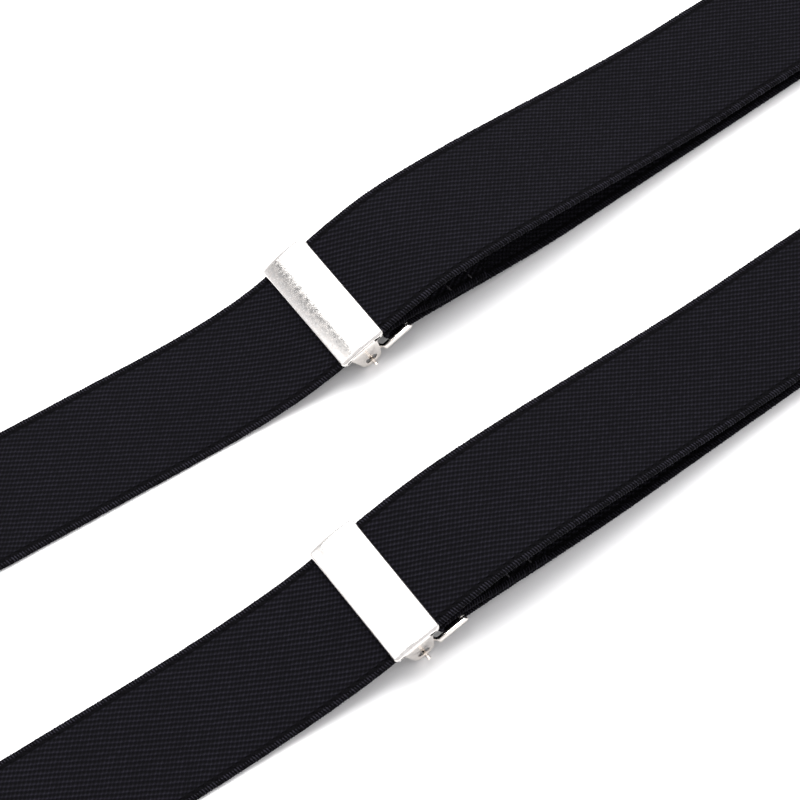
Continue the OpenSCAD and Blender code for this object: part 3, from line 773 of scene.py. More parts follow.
def bracket_mesh():
    """Deck and ears stamped in one and folded down, with the pivot holes."""
    _, sizes, _, _ = settings()
    bend = 0.55 * MM
    start = ear_inside() + sizes.sheet / 2 - bend
    middle = sizes.deck + sizes.sheet / 2
    hole = start + bend * math.pi / 2 + middle - bend
    deck, ear = sizes.cover_width / 2 - 1.5 * MM, sizes.cover_width / 2 - 2.7 * MM
    shoulder_drop, ear_flare = 1.5 * MM, 0.3 * MM
    shoulder = start - shoulder_drop
    foot = [(sizes.ear_radius * math.cos(a), hole + sizes.ear_radius * math.sin(a))
            for a in spread(0.12, math.pi - 0.12, 20)]
    half = [(deck, shoulder - shoulder_drop), (ear + ear_flare, shoulder), (ear, start + 2.5 * bend)]
    half += foot + [(-x, y) for x, y in reversed(half)]
    outline = half + [(-x, -y) for x, y in half]
    holes = [circle(0, hole, sizes.hole_radius), circle(0, -hole, sizes.hole_radius)]
    bm = stamped([outline] + holes, sizes.sheet, 0.1 * MM)
    folded_ends(bm, start, bend, -1)
    return placed(bm, Matrix.Translation((0, 0, middle)))


def lever_meshes():
    """Arms with nibs, cross bar and toothed tongue."""
    web, sizes, _, _ = settings()
    inside, sheet = ear_inside(), sizes.sheet
    half_arm, room = 1.0 * MM, 0.1 * MM
    nib_root, nib_past = 0.5 * MM, 2.3 * MM
    bite_gap, tooth, tongue_t = 0.2 * MM, 1.1 * MM, 0.9 * MM
    low = sizes.bar_height - half_arm
    jog_x, inset = sizes.ear_radius + 0.4 * MM, 1.25 * MM
    boss_r, root_x = sizes.nib_radius + 0.45 * MM, 0.4 * MM
    boss = [(boss_r * math.cos(a), boss_r * math.sin(a))
            for a in spread(math.radians(75), math.radians(310), 18)]
    tip = [(sizes.lever + half_arm * math.cos(a), sizes.bar_height + half_arm * math.sin(a))
           for a in spread(-math.pi / 2, math.pi / 2, 12)]
    outline = boss + [(boss_r + root_x, low)] + tip + [(root_x, low + 2 * half_arm)]
    parts = []
    for s in (-1, 1):
        bm = stamped([outline], sizes.arm, 0.2 * MM)
        cut_lines(bm, 0, [jog_x + inset * k / 6 for k in range(7)])
        placed(bm, Matrix.Rotation(math.pi / 2, 4, "X"))
        for vert in bm.verts:
            u = 1 - ease(vert.co.x, jog_x, inset)
            out = inside - room - sizes.arm / 2 + u * (room + sizes.arm)
            vert.co.y = vert.co.y + out * s
        bmesh.ops.recalc_face_normals(bm, faces=bm.faces)
        parts.append(bm)
        parts.append(rod((0, s * (inside - nib_root), 0), (0, s * (inside + sheet + nib_past), 0),
                         sizes.nib_radius, 0.2 * MM, 20))
    bar_x, bar_z = sizes.lever, sizes.bar_height
    parts.append(rod((bar_x, -inside - room, bar_z), (bar_x, inside + room, bar_z),
                     sizes.bar_radius, 0.1 * MM))
    strap_under = Lane("left").strap_mid - web.thickness / 2
    tooth_top, wide, teeth = strap_under - bite_gap, inside - 0.5 * MM, 12
    root = tooth_top - tooth
    step = 2 * wide / teeth
    zigzag = []
    for i in range(teeth):
        zigzag += [(-wide + step * i, root), (-wide + step * (i + 0.5), tooth_top)]
    tongue = [(-wide, -tongue_t)] + zigzag + [(wide, root), (wide, -tongue_t)]
    bm = stamped([tongue[::-1]], tongue_t, 0.06 * MM)
    upright = Matrix(((0, 0, 1, 0), (1, 0, 0, 0), (0, 1, 0, 0), (0, 0, 0, 1)))
    parts.append(placed(bm, upright))
    return parts


def softened(node, name, material, rim):
    """A copy of a rigid node with its edges rounded off."""
    mesh = frame["nodes"][node].data.copy()
    bm = bmesh.new()
    bm.from_mesh(mesh)
    bmesh.ops.remove_doubles(bm, verts=bm.verts, dist=1e-6)
    bmesh.ops.dissolve_limit(bm, angle_limit=math.radians(0.4), verts=bm.verts, edges=bm.edges)
    bm.to_mesh(mesh)
    bm.free()
    mesh.materials.clear()
    piece = link(name, mesh, material)
    bevel = piece.modifiers.new("Rounded edges", "BEVEL")
    bevel.width = rim
    bevel.segments = 3
    bevel.limit_method = "ANGLE"
    bevel.angle_limit = math.radians(32)
    made_real(piece, material)
    finish_mesh(piece.data, 35)
    return piece


# ---------------------------------------------------------------- shaders

class Graph:
    """Short ways to add nodes to a material or a node group."""

    def __init__(self, tree):
        self.tree = tree

    def node(self, kind, **values):
        node = self.tree.nodes.new(kind)
        for name, value in values.items():
            setattr(node, name, value)
        return node

    def feed(self, socket, value):
        if isinstance(value, bpy.types.NodeSocket):
            self.tree.links.new(value, socket)
        elif value is not None:
            socket.default_value = value

    def math(self, operation, a, b=None, c=None, clamp=False):
        node = self.node("ShaderNodeMath", operation=operation, use_clamp=clamp)
        for socket, value in zip(node.inputs, (a, b, c)):
            self.feed(socket, value)
        return node.outputs[0]

    def vector(self, operation, a, b=None, scale=None):
        node = self.node("ShaderNodeVectorMath", operation=operation)
        self.feed(node.inputs[0], a)
        self.feed(node.inputs[1], b)
        if scale is not None:
            self.feed(node.inputs["Scale"], scale)
        return node.outputs["Value" if operation == "DOT_PRODUCT" else "Vector"]

    def place(self):
        """Where a point lies on the object."""
        return self.node("ShaderNodeTexCoord").outputs["Object"]

    def noise(self, vector, scale, detail=2.0, roughness=0.5):
        node = self.node("ShaderNodeTexNoise")
        self.feed(node.inputs["Vector"], vector)
        node.inputs["Scale"].default_value = scale
        node.inputs["Detail"].default_value = detail
        node.inputs["Roughness"].default_value = roughness
        return node.outputs["Fac"]

    def mix(self, factor, a, b):
        node = self.node("ShaderNodeMix", data_type="RGBA")
        self.feed(node.inputs["Factor"], factor)
        self.feed(node.inputs["A"], a)
        self.feed(node.inputs["B"], b)
        return node.outputs["Result"]

    def span(self, value, from_low, from_high, low, high):
        node = self.node("ShaderNodeMapRange")
        for name, given in (("Value", value), ("From Min", from_low), ("From Max", from_high),
                            ("To Min", low), ("To Max", high)):
            self.feed(node.inputs[name], given)
        return node.outputs["Result"]

    def group(self, tree, **values):
        node = self.node("ShaderNodeGroup", node_tree=tree)
        for name, value in values.items():
            self.feed(node.inputs[name.replace("_", " ")], value)
        return node.outputs


def shader_group(name, inputs, outputs):
    """A new shader node group with its sockets, and the graph inside it."""
    tree = bpy.data.node_groups.new(name, "ShaderNodeTree")
    for socket, kind, default in inputs:
        made = tree.interface.new_socket(socket, in_out="INPUT", socket_type=kind)
        if default is not None:
            made.default_value = default
    for socket, kind in outputs:
        tree.interface.new_socket(socket, in_out="OUTPUT", socket_type=kind)
    graph = Graph(tree)
    return tree, graph, graph.node("NodeGroupInput").outputs, graph.node("NodeGroupOutput").inputs


def weave_group():
    """Twill: rows of beads from two crossing waves, with each bead a little different; its Shade output
    is painted light and shade from each bead's height, times a random tone for each bead.
    """
    tree, g, given, out = shader_group(
        "Twill weave",
        [("Vector", "NodeSocketVector", None), ("Row Wave", "NodeSocketVector", (378.0, 690.0, 0.0)),
         ("Bead Wave", "NodeSocketVector", (760.0, -676.0, 0.0)),
         ("Wander", "NodeSocketFloat", 0.00034)],
        [("Height", "NodeSocketFloat"), ("Shade", "NodeSocketFloat")])
    shift = g.node("ShaderNodeTexNoise")
    g.feed(shift.inputs["Vector"], given["Vector"])
    shift.inputs["Scale"].default_value = 420.0
    centred = g.vector("SUBTRACT", shift.outputs["Color"], (0.5, 0.5, 0.5))
    moved = g.vector("ADD", given["Vector"], g.vector("SCALE", centred, scale=given["Wander"]))
    waves = []
    cells = []
    for wave in ("Row Wave", "Bead Wave"):
        phase = g.vector("DOT_PRODUCT", moved, given[wave])
        turn = g.math("MULTIPLY", phase, 2 * math.pi)
        waves.append(g.math("MULTIPLY_ADD", g.math("COSINE", turn), 0.5, 0.5))
        cells.append(g.math("ROUND", phase))
    bead = g.math("POWER", g.math("MULTIPLY_ADD", waves[0], 0.6, g.math("MULTIPLY", waves[1], 0.4)), 1.7)
    cell = g.node("ShaderNodeCombineXYZ")
    g.feed(cell.inputs["X"], cells[0])
    g.feed(cell.inputs["Y"], cells[1])
    white = g.node("ShaderNodeTexWhiteNoise", noise_dimensions="2D")
    g.feed(white.inputs["Vector"], cell.outputs["Vector"])
    each = g.math("MULTIPLY_ADD", white.outputs["Value"], 0.6, 0.6)
    fibres = g.noise(given["Vector"], 5200.0, 3.0, 0.6)
    g.feed(out["Height"], g.math("MULTIPLY_ADD", fibres, 0.16, g.math("MULTIPLY", bead, each)))
    # Shade is painted light and shade from the bead height, with a random tone for each bead.
    g.feed(out["Shade"], g.math("MULTIPLY", bead, each, clamp=True))
    return tree


def wear_group():
    """Handled plating: fine scratches, cloudy patches and a height for both."""
    tree, g, given, out = shader_group(
        "Handled plating",
        [("Vector", "NodeSocketVector", None), ("Scratches", "NodeSocketFloat", 1.0),
         ("Clouds", "NodeSocketFloat", 1.0)],
        [("Roughness", "NodeSocketFloat"), ("Height", "NodeSocketFloat"),
         ("Tarnish", "NodeSocketFloat")])
    clouds = g.noise(given["Vector"], 900.0, 4.0, 0.62)
    grain = g.noise(given["Vector"], 5200.0, 3.0, 0.7)
    stretch = g.node("ShaderNodeMapping")
    g.feed(stretch.inputs["Vector"], given["Vector"])
    stretch.inputs["Rotation"].default_value = (0.0, 0.0, 0.5)
    stretch.inputs["Scale"].default_value = (900.0, 7000.0, 2500.0)
    lines = g.noise(stretch.outputs["Vector"], 1.0, 2.0, 0.5)
    fine = g.math("MULTIPLY", g.span(lines, 0.60, 0.74, 0.0, 1.0), given["Scratches"])
    cloudy = g.math("MULTIPLY", g.span(clouds, 0.38, 0.72, 0.0, 1.0), given["Clouds"])
    rough = g.math("MULTIPLY_ADD", cloudy, 0.16, g.math("MULTIPLY_ADD", fine, 0.10, 0.10))
    g.feed(out["Roughness"], g.math("MULTIPLY_ADD", grain, 0.06, rough))
    dents = g.math("MULTIPLY_ADD", clouds, 0.3, g.math("MULTIPLY", fine, -0.5))
    height = g.math("MULTIPLY_ADD", grain, 0.35, dents)
    g.feed(out["Height"], height)
    g.feed(out["Tarnish"], cloudy)
    return tree


def grain_group():
    """Leather grain: rounded cells with creases between them; the second output marks where painted shade
    darkens the creases.
    """
    tree, g, given, out = shader_group(
        "Leather grain",
        [("Vector", "NodeSocketVector", None), ("Cell", "NodeSocketFloat", 900.0)],
        [("Height", "NodeSocketFloat"), ("Crease Shade", "NodeSocketFloat")])
    cells = g.node("ShaderNodeTexVoronoi", feature="DISTANCE_TO_EDGE")
    g.feed(cells.inputs["Vector"], given["Vector"])
    g.feed(cells.inputs["Scale"], given["Cell"])
    crease = g.span(cells.outputs["Distance"], 0.0, 0.16, 1.0, 0.0)
    folds = g.noise(given["Vector"], 260.0, 4.0, 0.55)
    height = g.math("MULTIPLY_ADD", crease, -0.4, g.math("MULTIPLY", folds, 0.6))
    g.feed(out["Height"], height)
    g.feed(out["Crease Shade"], g.math("MULTIPLY", crease, folds, clamp=True))
    return tree


def new_material(name, **constants):
    """The graph and the Principled shader of a new material, with what is the same all over it."""
    material = bpy.data.materials.new(name)
    material.use_nodes = True
    shader = material.node_tree.nodes["Principled BSDF"]
    for socket, value in constants.items():
        shader.inputs[socket.replace("_", " ")].default_value = value
    return Graph(material.node_tree), shader


def bump(graph, shader, height, distance, strength=1.0):
    """Relief of that depth on a material."""
    node = graph.node("ShaderNodeBump")
    graph.feed(node.inputs["Height"], height)
    node.inputs["Distance"].default_value = distance
    node.inputs["Strength"].default_value = strength
    graph.feed(shader.inputs["Normal"], node.outputs["Normal"])


def rgba(value, factor=1.0):
    """A colour made lighter or darker, as a socket takes it."""
    return (value[0] * factor, value[1] * factor, value[2] * factor, 1.0)


def twill_material(weave, web):
    """Twill in painted light and shade, lit on the bead tops and in painted shade in the hollows between
    them, with the selvedges darkened as painted shade and a rare speck of lint.
    """
    g, shader = new_material("black twill elastic", Roughness=0.8, Specular_IOR_Level=0.06)
    cloth = g.node("ShaderNodeUVMap", uv_map="cloth").outputs["UV"]
    woven = g.group(weave, Vector=cloth)
    apart = g.node("ShaderNodeSeparateXYZ")
    g.feed(apart.inputs["Vector"], cloth)
    # The selvedge band, the strap's sides included, is darkened below as painted shade under the ribs and
    # along the sides.
    cloth_half = web.width / 2 - web.rib_width - 0.3 * MM
    edge = g.math("GREATER_THAN", g.math("ABSOLUTE", apart.outputs["Y"]), cloth_half)
    slow = g.noise(cloth, 55.0, 3.0, 0.6)
    tone = g.math("MULTIPLY_ADD", slow, 0.5, 0.75)
    shade = g.math("MULTIPLY", woven["Shade"], tone)
    # Painted light and shade: the hollow colour in the hollows between beads, the cloth colour made 1.7
    # times lighter on the lit bead tops.
    body = g.mix(shade, rgba(web.hollow_shade), rgba(web.cloth, 1.7))
    lint = g.node("ShaderNodeTexVoronoi", feature="F1")
    g.feed(lint.inputs["Vector"], cloth)
    lint.inputs["Scale"].default_value = 60.0
    speck = g.math("LESS_THAN", lint.outputs["Distance"], 0.016)
    rare = g.node("ShaderNodeSeparateColor")
    g.feed(rare.inputs["Color"], lint.outputs["Color"])
    speck = g.math("MULTIPLY", speck, g.math("GREATER_THAN", rare.outputs["Red"], 0.88))
    # Painted shade: the selvedge band and the sides take the hollow colour made 1.6 times lighter.
    shaded_selvedge = g.mix(edge, body, rgba(web.hollow_shade, 1.6))
    g.feed(shader.inputs["Base Color"], g.mix(speck, shaded_selvedge, (0.35, 0.35, 0.36, 1.0)))
    bump(g, shader, woven["Height"], 0.45 * MM, 1.0)


def yarn_material(name, base, factor, scale):
    """Yarn of the selvedge ribs and the sewing thread; a factor above 1 lightens the base colour, which
    on the selvedge ribs is a painted highlight.
    """
    g, shader = new_material(name, Roughness=0.75, Specular_IOR_Level=0.10)
    place = g.place()
    fibres = g.noise(place, scale, 3.0, 0.65)
    slow = g.noise(place, 140.0, 2.0, 0.5)
    tone = g.math("MULTIPLY", fibres, slow)
    shade = g.span(tone, 0.1, 0.5, 0.0, 1.0)
    g.feed(shader.inputs["Base Color"], g.mix(shade, rgba(base, 0.45 * factor), rgba(base, 1.5 * factor)))
    bump(g, shader, fibres, 0.12 * MM, 0.8)


def nickel_material(name, wear, base, scratches, clouds, depth):
    """Plated or bare metal, duller and warmer where it is tarnished."""
    g, shader = new_material(name, Metallic=1.0)
    place = g.place()
    worn = g.group(wear, Vector=place, Scratches=scratches, Clouds=clouds)
    fresh, dull = rgba(base), (base[0] * 0.80, base[1] * 0.765, base[2] * 0.745, 1.0)
    g.feed(shader.inputs["Base Color"], g.mix(worn["Tarnish"], fresh, dull))
    g.feed(shader.inputs["Roughness"], worn["Roughness"])
    bump(g, shader, worn["Height"], depth, 1.0)


def leather_material(grain, patch):
    """Grained leather, duller in its creases, and darker there as painted shade."""
    g, shader = new_material("black grained leather", Specular_IOR_Level=0.16)
    place = g.place()
    cells = g.group(grain, Vector=place, Cell=900.0)
    # Painted shade: the leather colour made darker in the creases and lighter on the cells.
    g.feed(shader.inputs["Base Color"], g.mix(cells["Crease Shade"], rgba(patch.leather, 1.3),
                                              rgba(patch.leather, 0.55)))
    g.feed(shader.inputs["Roughness"], g.span(cells["Height"], -0.6, 0.5, 0.62, 0.40))
    bump(g, shader, cells["Height"], 0.22 * MM, 1.0)


def suede_material(patch):
    """Suede with a soft nap."""
    g, shader = new_material("brown suede", Roughness=0.9, Sheen_Weight=0.3)
    place = g.place()
    nap = g.noise(place, 1600.0, 4.0, 0.7)
    drift = g.noise(place, 90.0, 3.0, 0.5)
    shade = g.math("MULTIPLY", nap, drift, clamp=True)
    g.feed(shader.inputs["Base Color"], g.mix(shade, rgba(patch.suede, 0.6), rgba(patch.suede, 1.9)))
    bump(g, shader, nap, 0.2 * MM, 0.9)


def rubber_material():
    """Rubber with a little dust."""
    g, shader = new_material("dark grip rubber")
    place = g.place()
    dust = g.noise(place, 700.0, 4.0, 0.6)
    clean, dusty = (0.016, 0.016, 0.017, 1.0), (0.045, 0.044, 0.043, 1.0)
    g.feed(shader.inputs["Base Color"], g.mix(g.span(dust, 0.45, 0.75, 0.0, 1.0), clean, dusty))
    g.feed(shader.inputs["Roughness"], g.span(dust, 0.3, 0.7, 0.5, 0.72))
    bump(g, shader, dust, 0.06 * MM, 0.7)


def floor_material(base):
    """A pale floor that is almost even."""
    g, shader = new_material("pale floor", Roughness=0.9, Specular_IOR_Level=0.1)
    place = g.place()
    g.feed(shader.inputs["Base Color"], g.mix(g.noise(place, 3.0, 2.0), rgba(base, 0.985), rgba(base)))


def materials():
    """Every finish of the object by name, made once."""
    made = {m.name: m for m in bpy.data.materials}
    if "black twill elastic" in made:
        return made
    web, adjuster, patch, stage = settings()
    weave, wear, grain = weave_group(), wear_group(), grain_group()
    nickel = adjuster.nickel
    twill_material(weave, web)
    # The selvedge ribs take the cloth colour made 2.3 times lighter: painted highlight on the ribs.
    yarn_material("selvedge yarn", web.cloth, 2.3, 3800.0)
    yarn_material("sewing thread", patch.thread, 1.0, 5200.0)
    nickel_material("bright nickel", wear, nickel, 1.0, 1.0, 0.010 * MM)
    nickel_material("plain nickel", wear, (0.93, 0.885, 0.835), 0.6, 0.35, 0.006 * MM)
    nickel_material("clip nickel", wear, nickel, 0.8, 0.7, 0.006 * MM)
    nickel_material("turned steel", wear, (0.60, 0.60, 0.60), 0.3, 0.5, 0.004 * MM)
    leather_material(grain, patch)
    suede_material(patch)
    rubber_material()
    floor_material(stage.floor)
    return {m.name: m for m in bpy.data.materials}


# ---------------------------------------------------------------- the stage

def make_camera(stage):
    """The camera at the viewing angle of the set-up, aimed between the adjusters."""
    a, e, r = stage.azimuth, stage.elevation, stage.roll
    level = Vector((math.cos(a), -math.sin(a), 0))
    ahead = Vector((math.sin(a) * math.cos(e), math.cos(a) * math.cos(e), -math.sin(e)))
    upward = level.cross(ahead)
    right = level * math.cos(r) + upward * math.sin(r)
    top = upward * math.cos(r) - level * math.sin(r)
    middle = (PIVOT["left"].y + PIVOT["right"].y) / 2
    aim = Vector((PIVOT["left"].x + stage.aim_x, middle + stage.aim_y, 0))
    data = bpy.data.cameras.new("camera")
    data.lens = stage.lens
    data.sensor_width = 36
    data.clip_start, data.clip_end = 0.01, 50
    camera = bpy.data.objects.new("camera", data)
    camera.matrix_world = Matrix.Translation(aim - ahead * stage.distance) @ Matrix(
        (right, top, -ahead)).transposed().to_4x4()
    bpy.context.scene.collection.objects.link(camera)
    bpy.context.scene.camera = camera


def area_light(name, towards, distance, width, depth, power, spin=0.0):
    """A soft light at a distance in a direction from the middle of the adjusters, facing it."""
    middle = (PIVOT["left"] + PIVOT["right"]) / 2
    place = middle + Vector(towards).normalized() * distance
    data = bpy.data.lights.new(name, "AREA")
    data.shape = "RECTANGLE"
    data.size, data.size_y = width, depth
    data.energy = power
    light = bpy.data.objects.new(name, data)
    light.location = place
    light.rotation_euler = ((middle - place).to_track_quat("-Z", "Y").to_matrix()
                            @ Matrix.Rotation(spin, 3, "Z")).to_euler()
    bpy.context.scene.collection.objects.link(light)


def make_world():
    """An even white surround with one dimmer gap, which the covers mirror."""
    world = bpy.data.worlds.new("studio")
    world.use_nodes = True
    background = world.node_tree.nodes["Background"]
    background.inputs["Color"].default_value = (0.99, 0.98, 1.0, 1.0)
    g = Graph(world.node_tree)
    towards = g.node("ShaderNodeTexCoord").outputs["Generated"]
    near_gap = g.vector("DOT_PRODUCT", towards, tuple(Vector((-0.33, 0.38, 0.865)).normalized()))
    g.feed(background.inputs["Strength"], g.span(near_gap, 0.885, 0.99, 1.0, 0.22))
    bpy.context.scene.world = world


def make_stage():
    """Camera, surround, lights and floor."""
    stage = settings()[3]
    make_camera(stage)
    make_world()
    area_light("overhead soft box", (0.10, 0.42, 0.92), 1.3, 0.86, 1.3, 26.5, math.radians(-50))
    area_light("side card", (-0.60, 0.22, 0.72), 0.96, 0.31, 0.48, 0.75)
    floor_mesh = bpy.data.meshes.new("floor")
    reach = 6.0
    corners = [(-reach, -reach, 0), (reach, -reach, 0), (reach, reach, 0), (-reach, reach, 0)]
    floor_mesh.from_pydata(corners, [], [(0, 1, 2, 3)])
    link("floor", floor_mesh, materials()["pale floor"])
    bpy.context.scene.view_settings.view_transform = "Standard"


# ---------------------------------------------------------------- pieces on their bodies


def ribbed(name, stations):
    """The ribbed selvedges of a strip."""
    web = settings()[0]
    rows = beads(name, selvedge_paths(stations, web), materials()["selvedge yarn"],
                 Pitch=web.rib_pitch, Length=0.68 * MM, Width=web.rib_width + 0.15 * MM,
                 Height=web.thickness + 0.16 * MM, Lean=0.3, Segments=8, Rings=4)
    return rows


def make_straps():
    """The rear run of each strap, from the back clip's fold to the adjuster."""
    for side in SIDES:
        lane = Lane(side)
        stations = lane.strap_stations()
        strap = strip(f"{side}_strap_cloth", stations, materials()["black twill elastic"],
                      seed=lane.sign)
        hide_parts(f"strap_{side}")
        for piece in (strap, ribbed(f"{side}_strap_selvedge", stations)):
            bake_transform(piece)


def make_runs():
    """The upper run from each adjuster to its front clip."""
    for side in SIDES:
        lane = Lane(side)
        stations = lane.run_stations()
        run = strip(f"{side}_upper_run_cloth", stations, materials()["black twill elastic"], start=0.7,
                    seed=lane.sign)
        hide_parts(f"front_run_{side}")
        for piece in (run, ribbed(f"{side}_upper_run_selvedge", stations)):
            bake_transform(piece)


def make_returns():
    """The lower run: its sewn loop round the lever's bar, and its long stretch to the front clip."""
    for side in SIDES:
        lane = Lane(side)
        loop, long_run = lane.loop_stations(), lane.return_stations()
        seam = along(loop)[-1]
        near = strip(f"{side}_bar_loop_cloth", loop, materials()["black twill elastic"], seed=lane.sign)
        far = strip(f"{side}_lower_run_cloth", long_run, materials()["black twill elastic"], start=seam,
                    seed=lane.sign)
        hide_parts(f"return_run_{side}")
        tack = bar_tack(f"{side}_bar_loop_stitching", lane)
        for piece in (near, ribbed(f"{side}_bar_loop_selvedge", loop), tack):
            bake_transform(piece)
        for piece in (far, ribbed(f"{side}_lower_run_selvedge", long_run)):
            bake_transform(piece)


def stitch_rows(name, paths):
    """Rows of stitches in the webbing."""
    _, _, patch, _ = settings()
    rows = beads(name, paths, materials()["sewing thread"], Pitch=patch.stitch * 0.8, Length=1.9 * MM,
                 Width=0.5 * MM, Height=0.42 * MM, Lean=0.12, Segments=8, Rings=6)
    return rows


def bar_tack(name, lane):
    """Two rows of stitches across the sewn fold at the lever's bar."""
    web = settings()[0]
    bar_x = lane.lever_bar()[0]
    half_row = 15 * MM
    paths = []
    for from_bar in (16 * MM, 23 * MM):
        x = bar_x + from_bar
        top = lane.under_z(x) + 1.5 * web.thickness + web.layer_gap + 0.05 * MM
        paths.append([(Vector((x, lane.pivot.y + v, top)), UP) for v in spread(-half_row, half_row, 12)])
    return stitch_rows(name, paths)


def make_back_stitching():
    """A stitched box with a cross on the sewn fold at each back clip."""
    web = settings()[0]
    for side in SIDES:
        lane = Lane(side)
        h = lane.sign * lane.cross
        top = lane.floor + 1.5 * web.thickness + web.layer_gap + 0.06 * MM
        near, far, wide = 15 * MM, web.fold - 2 * MM, 14 * MM

        def spot(s, v):
            x = lane.back.x + s * math.cos(h) - v * math.sin(h)
            return Vector((x, lane.back.y + s * math.sin(h) + v * math.cos(h), top)), UP

        box = [(near, -wide), (near, wide), (far, wide), (far, -wide)]
        lines = list(zip(box, box[1:] + box[:1])) + [(box[0], box[2]), (box[1], box[3])]
        paths = [[spot(a[0] + (b[0] - a[0]) * u, a[1] + (b[1] - a[1]) * u) for u in spread(0, 1, 6)]
                 for a, b in lines]
        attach(stitch_rows(f"{side}_back_fold_stitching", paths), "webbing")


def patch_height(x, y):
    """Height of the outer leather's underside: it lies on the crossing straps and sinks between them."""
    web = settings()[0]
    lane = Lane("left")
    base = lane.floor - web.thickness / 2 + LEATHER + web.layer_gap
    cover = 0.0
    for sign in (1, -1):
        from_middle = y - sign * math.tan(lane.cross) * (x - PATCH_X)
        off = abs(from_middle * math.cos(lane.cross))
        cover += ease(off, web.width / 2 - 0.5 * MM, 9 * MM)
    return base + (web.thickness + web.layer_gap) * min(cover, 2.0)


def patch_outline(inset, count):
    """The patch's rounded outline, moved inwards, with evenly spaced points."""
    l, w = PATCH_HALF_L - inset, PATCH_HALF_W - inset
    corners = [(l, w), (-l, w), (-l, -w), (l, -w)]
    return evened(rounded(corners, [settings()[2].corner - inset] * 4, 16), count)


def leather_slab(name, material, height, steps):
    """A rounded patch of leather, made of rings that shrink towards its middle, above and below."""
    outline = patch_outline(0.0, 220)
    rim = LEATHER * 0.45
    shares = [(share, 0.0) for share in spread(0.04, 0.93, steps)]
    shares += [(1 - (rim * (1 - math.sin(a))) / PATCH_HALF_W, rim * (1 - math.cos(a)))
               for a in spread(math.pi / 2, 0, 5)][1:]
    bm = bmesh.new()

    def face_rings(upper):
        rows = []
        for share, sink in shares:
            spots = [(PATCH_X + p.x * share, PATCH_Y + p.y * share) for p in outline]
            rise = LEATHER - sink if upper else sink
            rows.append([bm.verts.new((x, y, height(x, y) + rise)) for x, y in spots])
        return rows

    chain = face_rings(True)
    chain += face_rings(False)[::-1]
    walls(bm, chain)
    bm.faces.new(chain[0])
    bm.faces.new(chain[-1])
    bmesh.ops.triangulate(bm, faces=[f for f in bm.faces if len(f.verts) > 4])
    bmesh.ops.recalc_face_normals(bm, faces=bm.faces)
    mesh = bpy.data.meshes.new(name)
    bm.to_mesh(mesh)
    bm.free()
    return link(name, finish_mesh(mesh, 60), material)


def evened(outline, count):
    """The same closed outline with evenly spaced points."""
    points = [Vector(p) for p in outline] + [Vector(outline[0])]
    steps = [(b - a).length for a, b in zip(points, points[1:])]
    total, result, walked, i = sum(steps), [], 0.0, 0
    for k in range(count):
        target = total * k / count
        while walked + steps[i] < target:
            walked += steps[i]
            i += 1
        result.append(points[i].lerp(points[i + 1], (target - walked) / steps[i] if steps[i] else 0))
    return result


def make_patch():
    """The two leather layers over and under the crossing, and the double seam round them."""
    _, _, patch, _ = settings()
    finishes = materials()
    outer = leather_slab("outer_patch_leather", finishes["black grained leather"], patch_height, 30)
    inner = leather_slab("inner_patch_leather", finishes["brown suede"], lambda x, y: 0.0, 12)
    for piece, node, slot, under in ((outer, "patch_outer", "leather_outer", "left_strap_cloth"),
                                     (inner, "patch_inner", "leather_inner", "floor")):
        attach(piece, "webbing")
        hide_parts(node)
    row_gap, proud = 2.4 * MM, 0.02 * MM
    paths = []
    for inset in (patch.inset, patch.inset + row_gap):
        ring = patch_outline(inset, 180)
        spots = [(PATCH_X + p.x, PATCH_Y + p.y) for p in ring + ring[:1]]
        paths.append([(Vector((x, y, patch_height(x, y) + LEATHER + proud)), UP) for x, y in spots])
    seam = beads("patch_seam", paths, finishes["sewing thread"], Pitch=patch.stitch, Length=2.3 * MM,
                 Width=0.6 * MM, Height=0.5 * MM, Lean=0.1, Segments=8, Rings=6)
    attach(seam, "webbing")


def make_adjusters():
    """Cover, bracket and lever of both slide adjusters."""
    finishes = materials()
    for side in SIDES:
        matrix = in_adjuster(side)
        rows = (("cover", [cover_mesh()], "bright nickel", "nickel_cover", f"adjuster_{side}"),
                ("bracket", [bracket_mesh()], "plain nickel", "nickel_bracket", f"adjuster_{side}"),
                ("lever", lever_meshes(), "plain nickel", "nickel_lever", f"lever_{side}"))
        for part, meshes, finish, slot, body in rows:
            meshes = [placed(bm, matrix) for bm in meshes]
            piece = joined(f"{side}_{part}", meshes, finishes[finish])
            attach(piece, body)
            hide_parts(f"adjuster_{part}_{side}")


def make_clips():
    """The four flip clips, each a base, a cover, a pin and two grip pads."""
    finishes = materials()
    rows = (("clip_base", "clip nickel", "clip_plate", "clip", 0.16 * MM),
            ("clip_cover", "bright nickel", "clip_cover", "flip", 0.22 * MM),
            ("clip_pin", "turned steel", "clip_pin", "clip", 0.2 * MM),
            ("base_pad", "dark grip rubber", "grip_pad", "clip", 0.1 * MM),
            ("cam_pad", "dark grip rubber", "grip_pad", "flip", 0.12 * MM))
    for clip in CLIPS:
        for part, finish, slot, body, rim in rows:
            piece = softened(f"{part}_{clip}", f"{clip}_{part}", finishes[finish], rim)
            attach(piece, f"{body}_{clip}")
            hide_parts(f"{part}_{clip}")


# ---------------------------------------------------------------- the add-on

class MakeStage(bpy.types.Operator):
    """Make the camera, the soft light and the pale floor"""
    bl_idname = "suspenders.stage"
    bl_label = "Stage"

    def execute(self, context):
        make_stage()
        return {"FINISHED"}


class MakeStraps(bpy.types.Operator):
    """Make the rear run of each strap with its selvedges"""
    bl_idname = "suspenders.straps"
    bl_label = "Straps"

    def execute(self, context):
        make_straps()
        return {"FINISHED"}


class MakeRuns(bpy.types.Operator):
    """Make the upper and lower runs in front of the adjusters"""
    bl_idname = "suspenders.runs"
    bl_label = "Front runs"

    def execute(self, context):
        make_runs()
        make_returns()
        return {"FINISHED"}


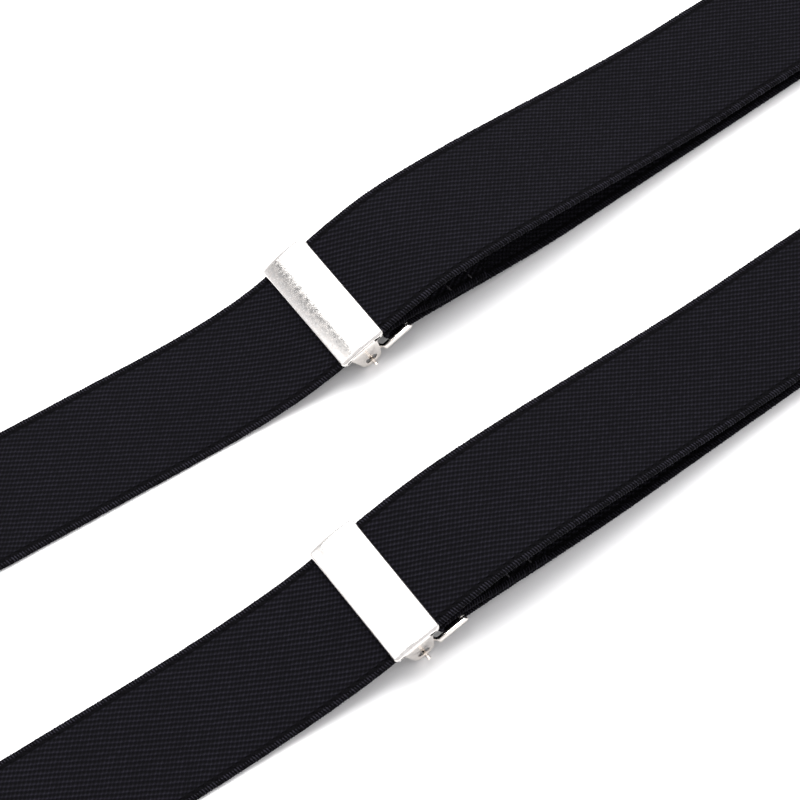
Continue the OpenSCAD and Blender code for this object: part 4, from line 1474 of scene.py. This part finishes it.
class MakeStitching(bpy.types.Operator):
    """Sew the folds at the back clips"""
    bl_idname = "suspenders.stitching"
    bl_label = "Stitching"

    def execute(self, context):
        make_back_stitching()
        return {"FINISHED"}


class MakePatch(bpy.types.Operator):
    """Make the leather patch over the crossing"""
    bl_idname = "suspenders.patch"
    bl_label = "Leather patch"

    def execute(self, context):
        make_patch()
        return {"FINISHED"}


class MakeAdjusters(bpy.types.Operator):
    """Make the covers, brackets and levers of the adjusters"""
    bl_idname = "suspenders.adjusters"
    bl_label = "Adjusters"

    def execute(self, context):
        make_adjusters()
        return {"FINISHED"}


class MakeClips(bpy.types.Operator):
    """Make the four flip clips"""
    bl_idname = "suspenders.clips"
    bl_label = "Clips"

    def execute(self, context):
        make_clips()
        return {"FINISHED"}


OPERATORS = (MakeStage, MakeStraps, MakeRuns, MakeStitching, MakePatch, MakeAdjusters, MakeClips)
GROUPS = {"webbing_sizes": WebbingSizes, "adjuster_sizes": AdjusterSizes, "patch_sizes": PatchSizes,
          "stage_settings": StageSettings}


class SuspendersPanel(bpy.types.Panel):
    """Lists the makers of the suspenders' pieces"""
    bl_idname = "VIEW3D_PT_suspenders"
    bl_label = "Suspenders"
    bl_space_type = "VIEW_3D"
    bl_region_type = "UI"
    bl_category = "Suspenders"

    def draw(self, context):
        for operator in OPERATORS:
            self.layout.operator(operator.bl_idname)
        for name, group in GROUPS.items():
            box = self.layout.box()
            for item in group.__annotations__:
                box.prop(getattr(context.scene, name), item)


CLASSES = tuple(GROUPS.values()) + OPERATORS + (SuspendersPanel,)


def register():
    """Adds the classes and the four groups of sizes."""
    for cls in CLASSES:
        bpy.utils.register_class(cls)
    for name, group in GROUPS.items():
        setattr(bpy.types.Scene, name, PointerProperty(type=group))


def unregister():
    """Takes them away again."""
    for name in GROUPS:
        delattr(bpy.types.Scene, name)
    for cls in reversed(CLASSES):
        bpy.utils.unregister_class(cls)


def main():
    """Makes every piece in order."""
    register()
    for operator in OPERATORS:
        getattr(bpy.ops.suspenders, operator.bl_idname.split(".")[1])()


if __name__ == "__main__":
    main()
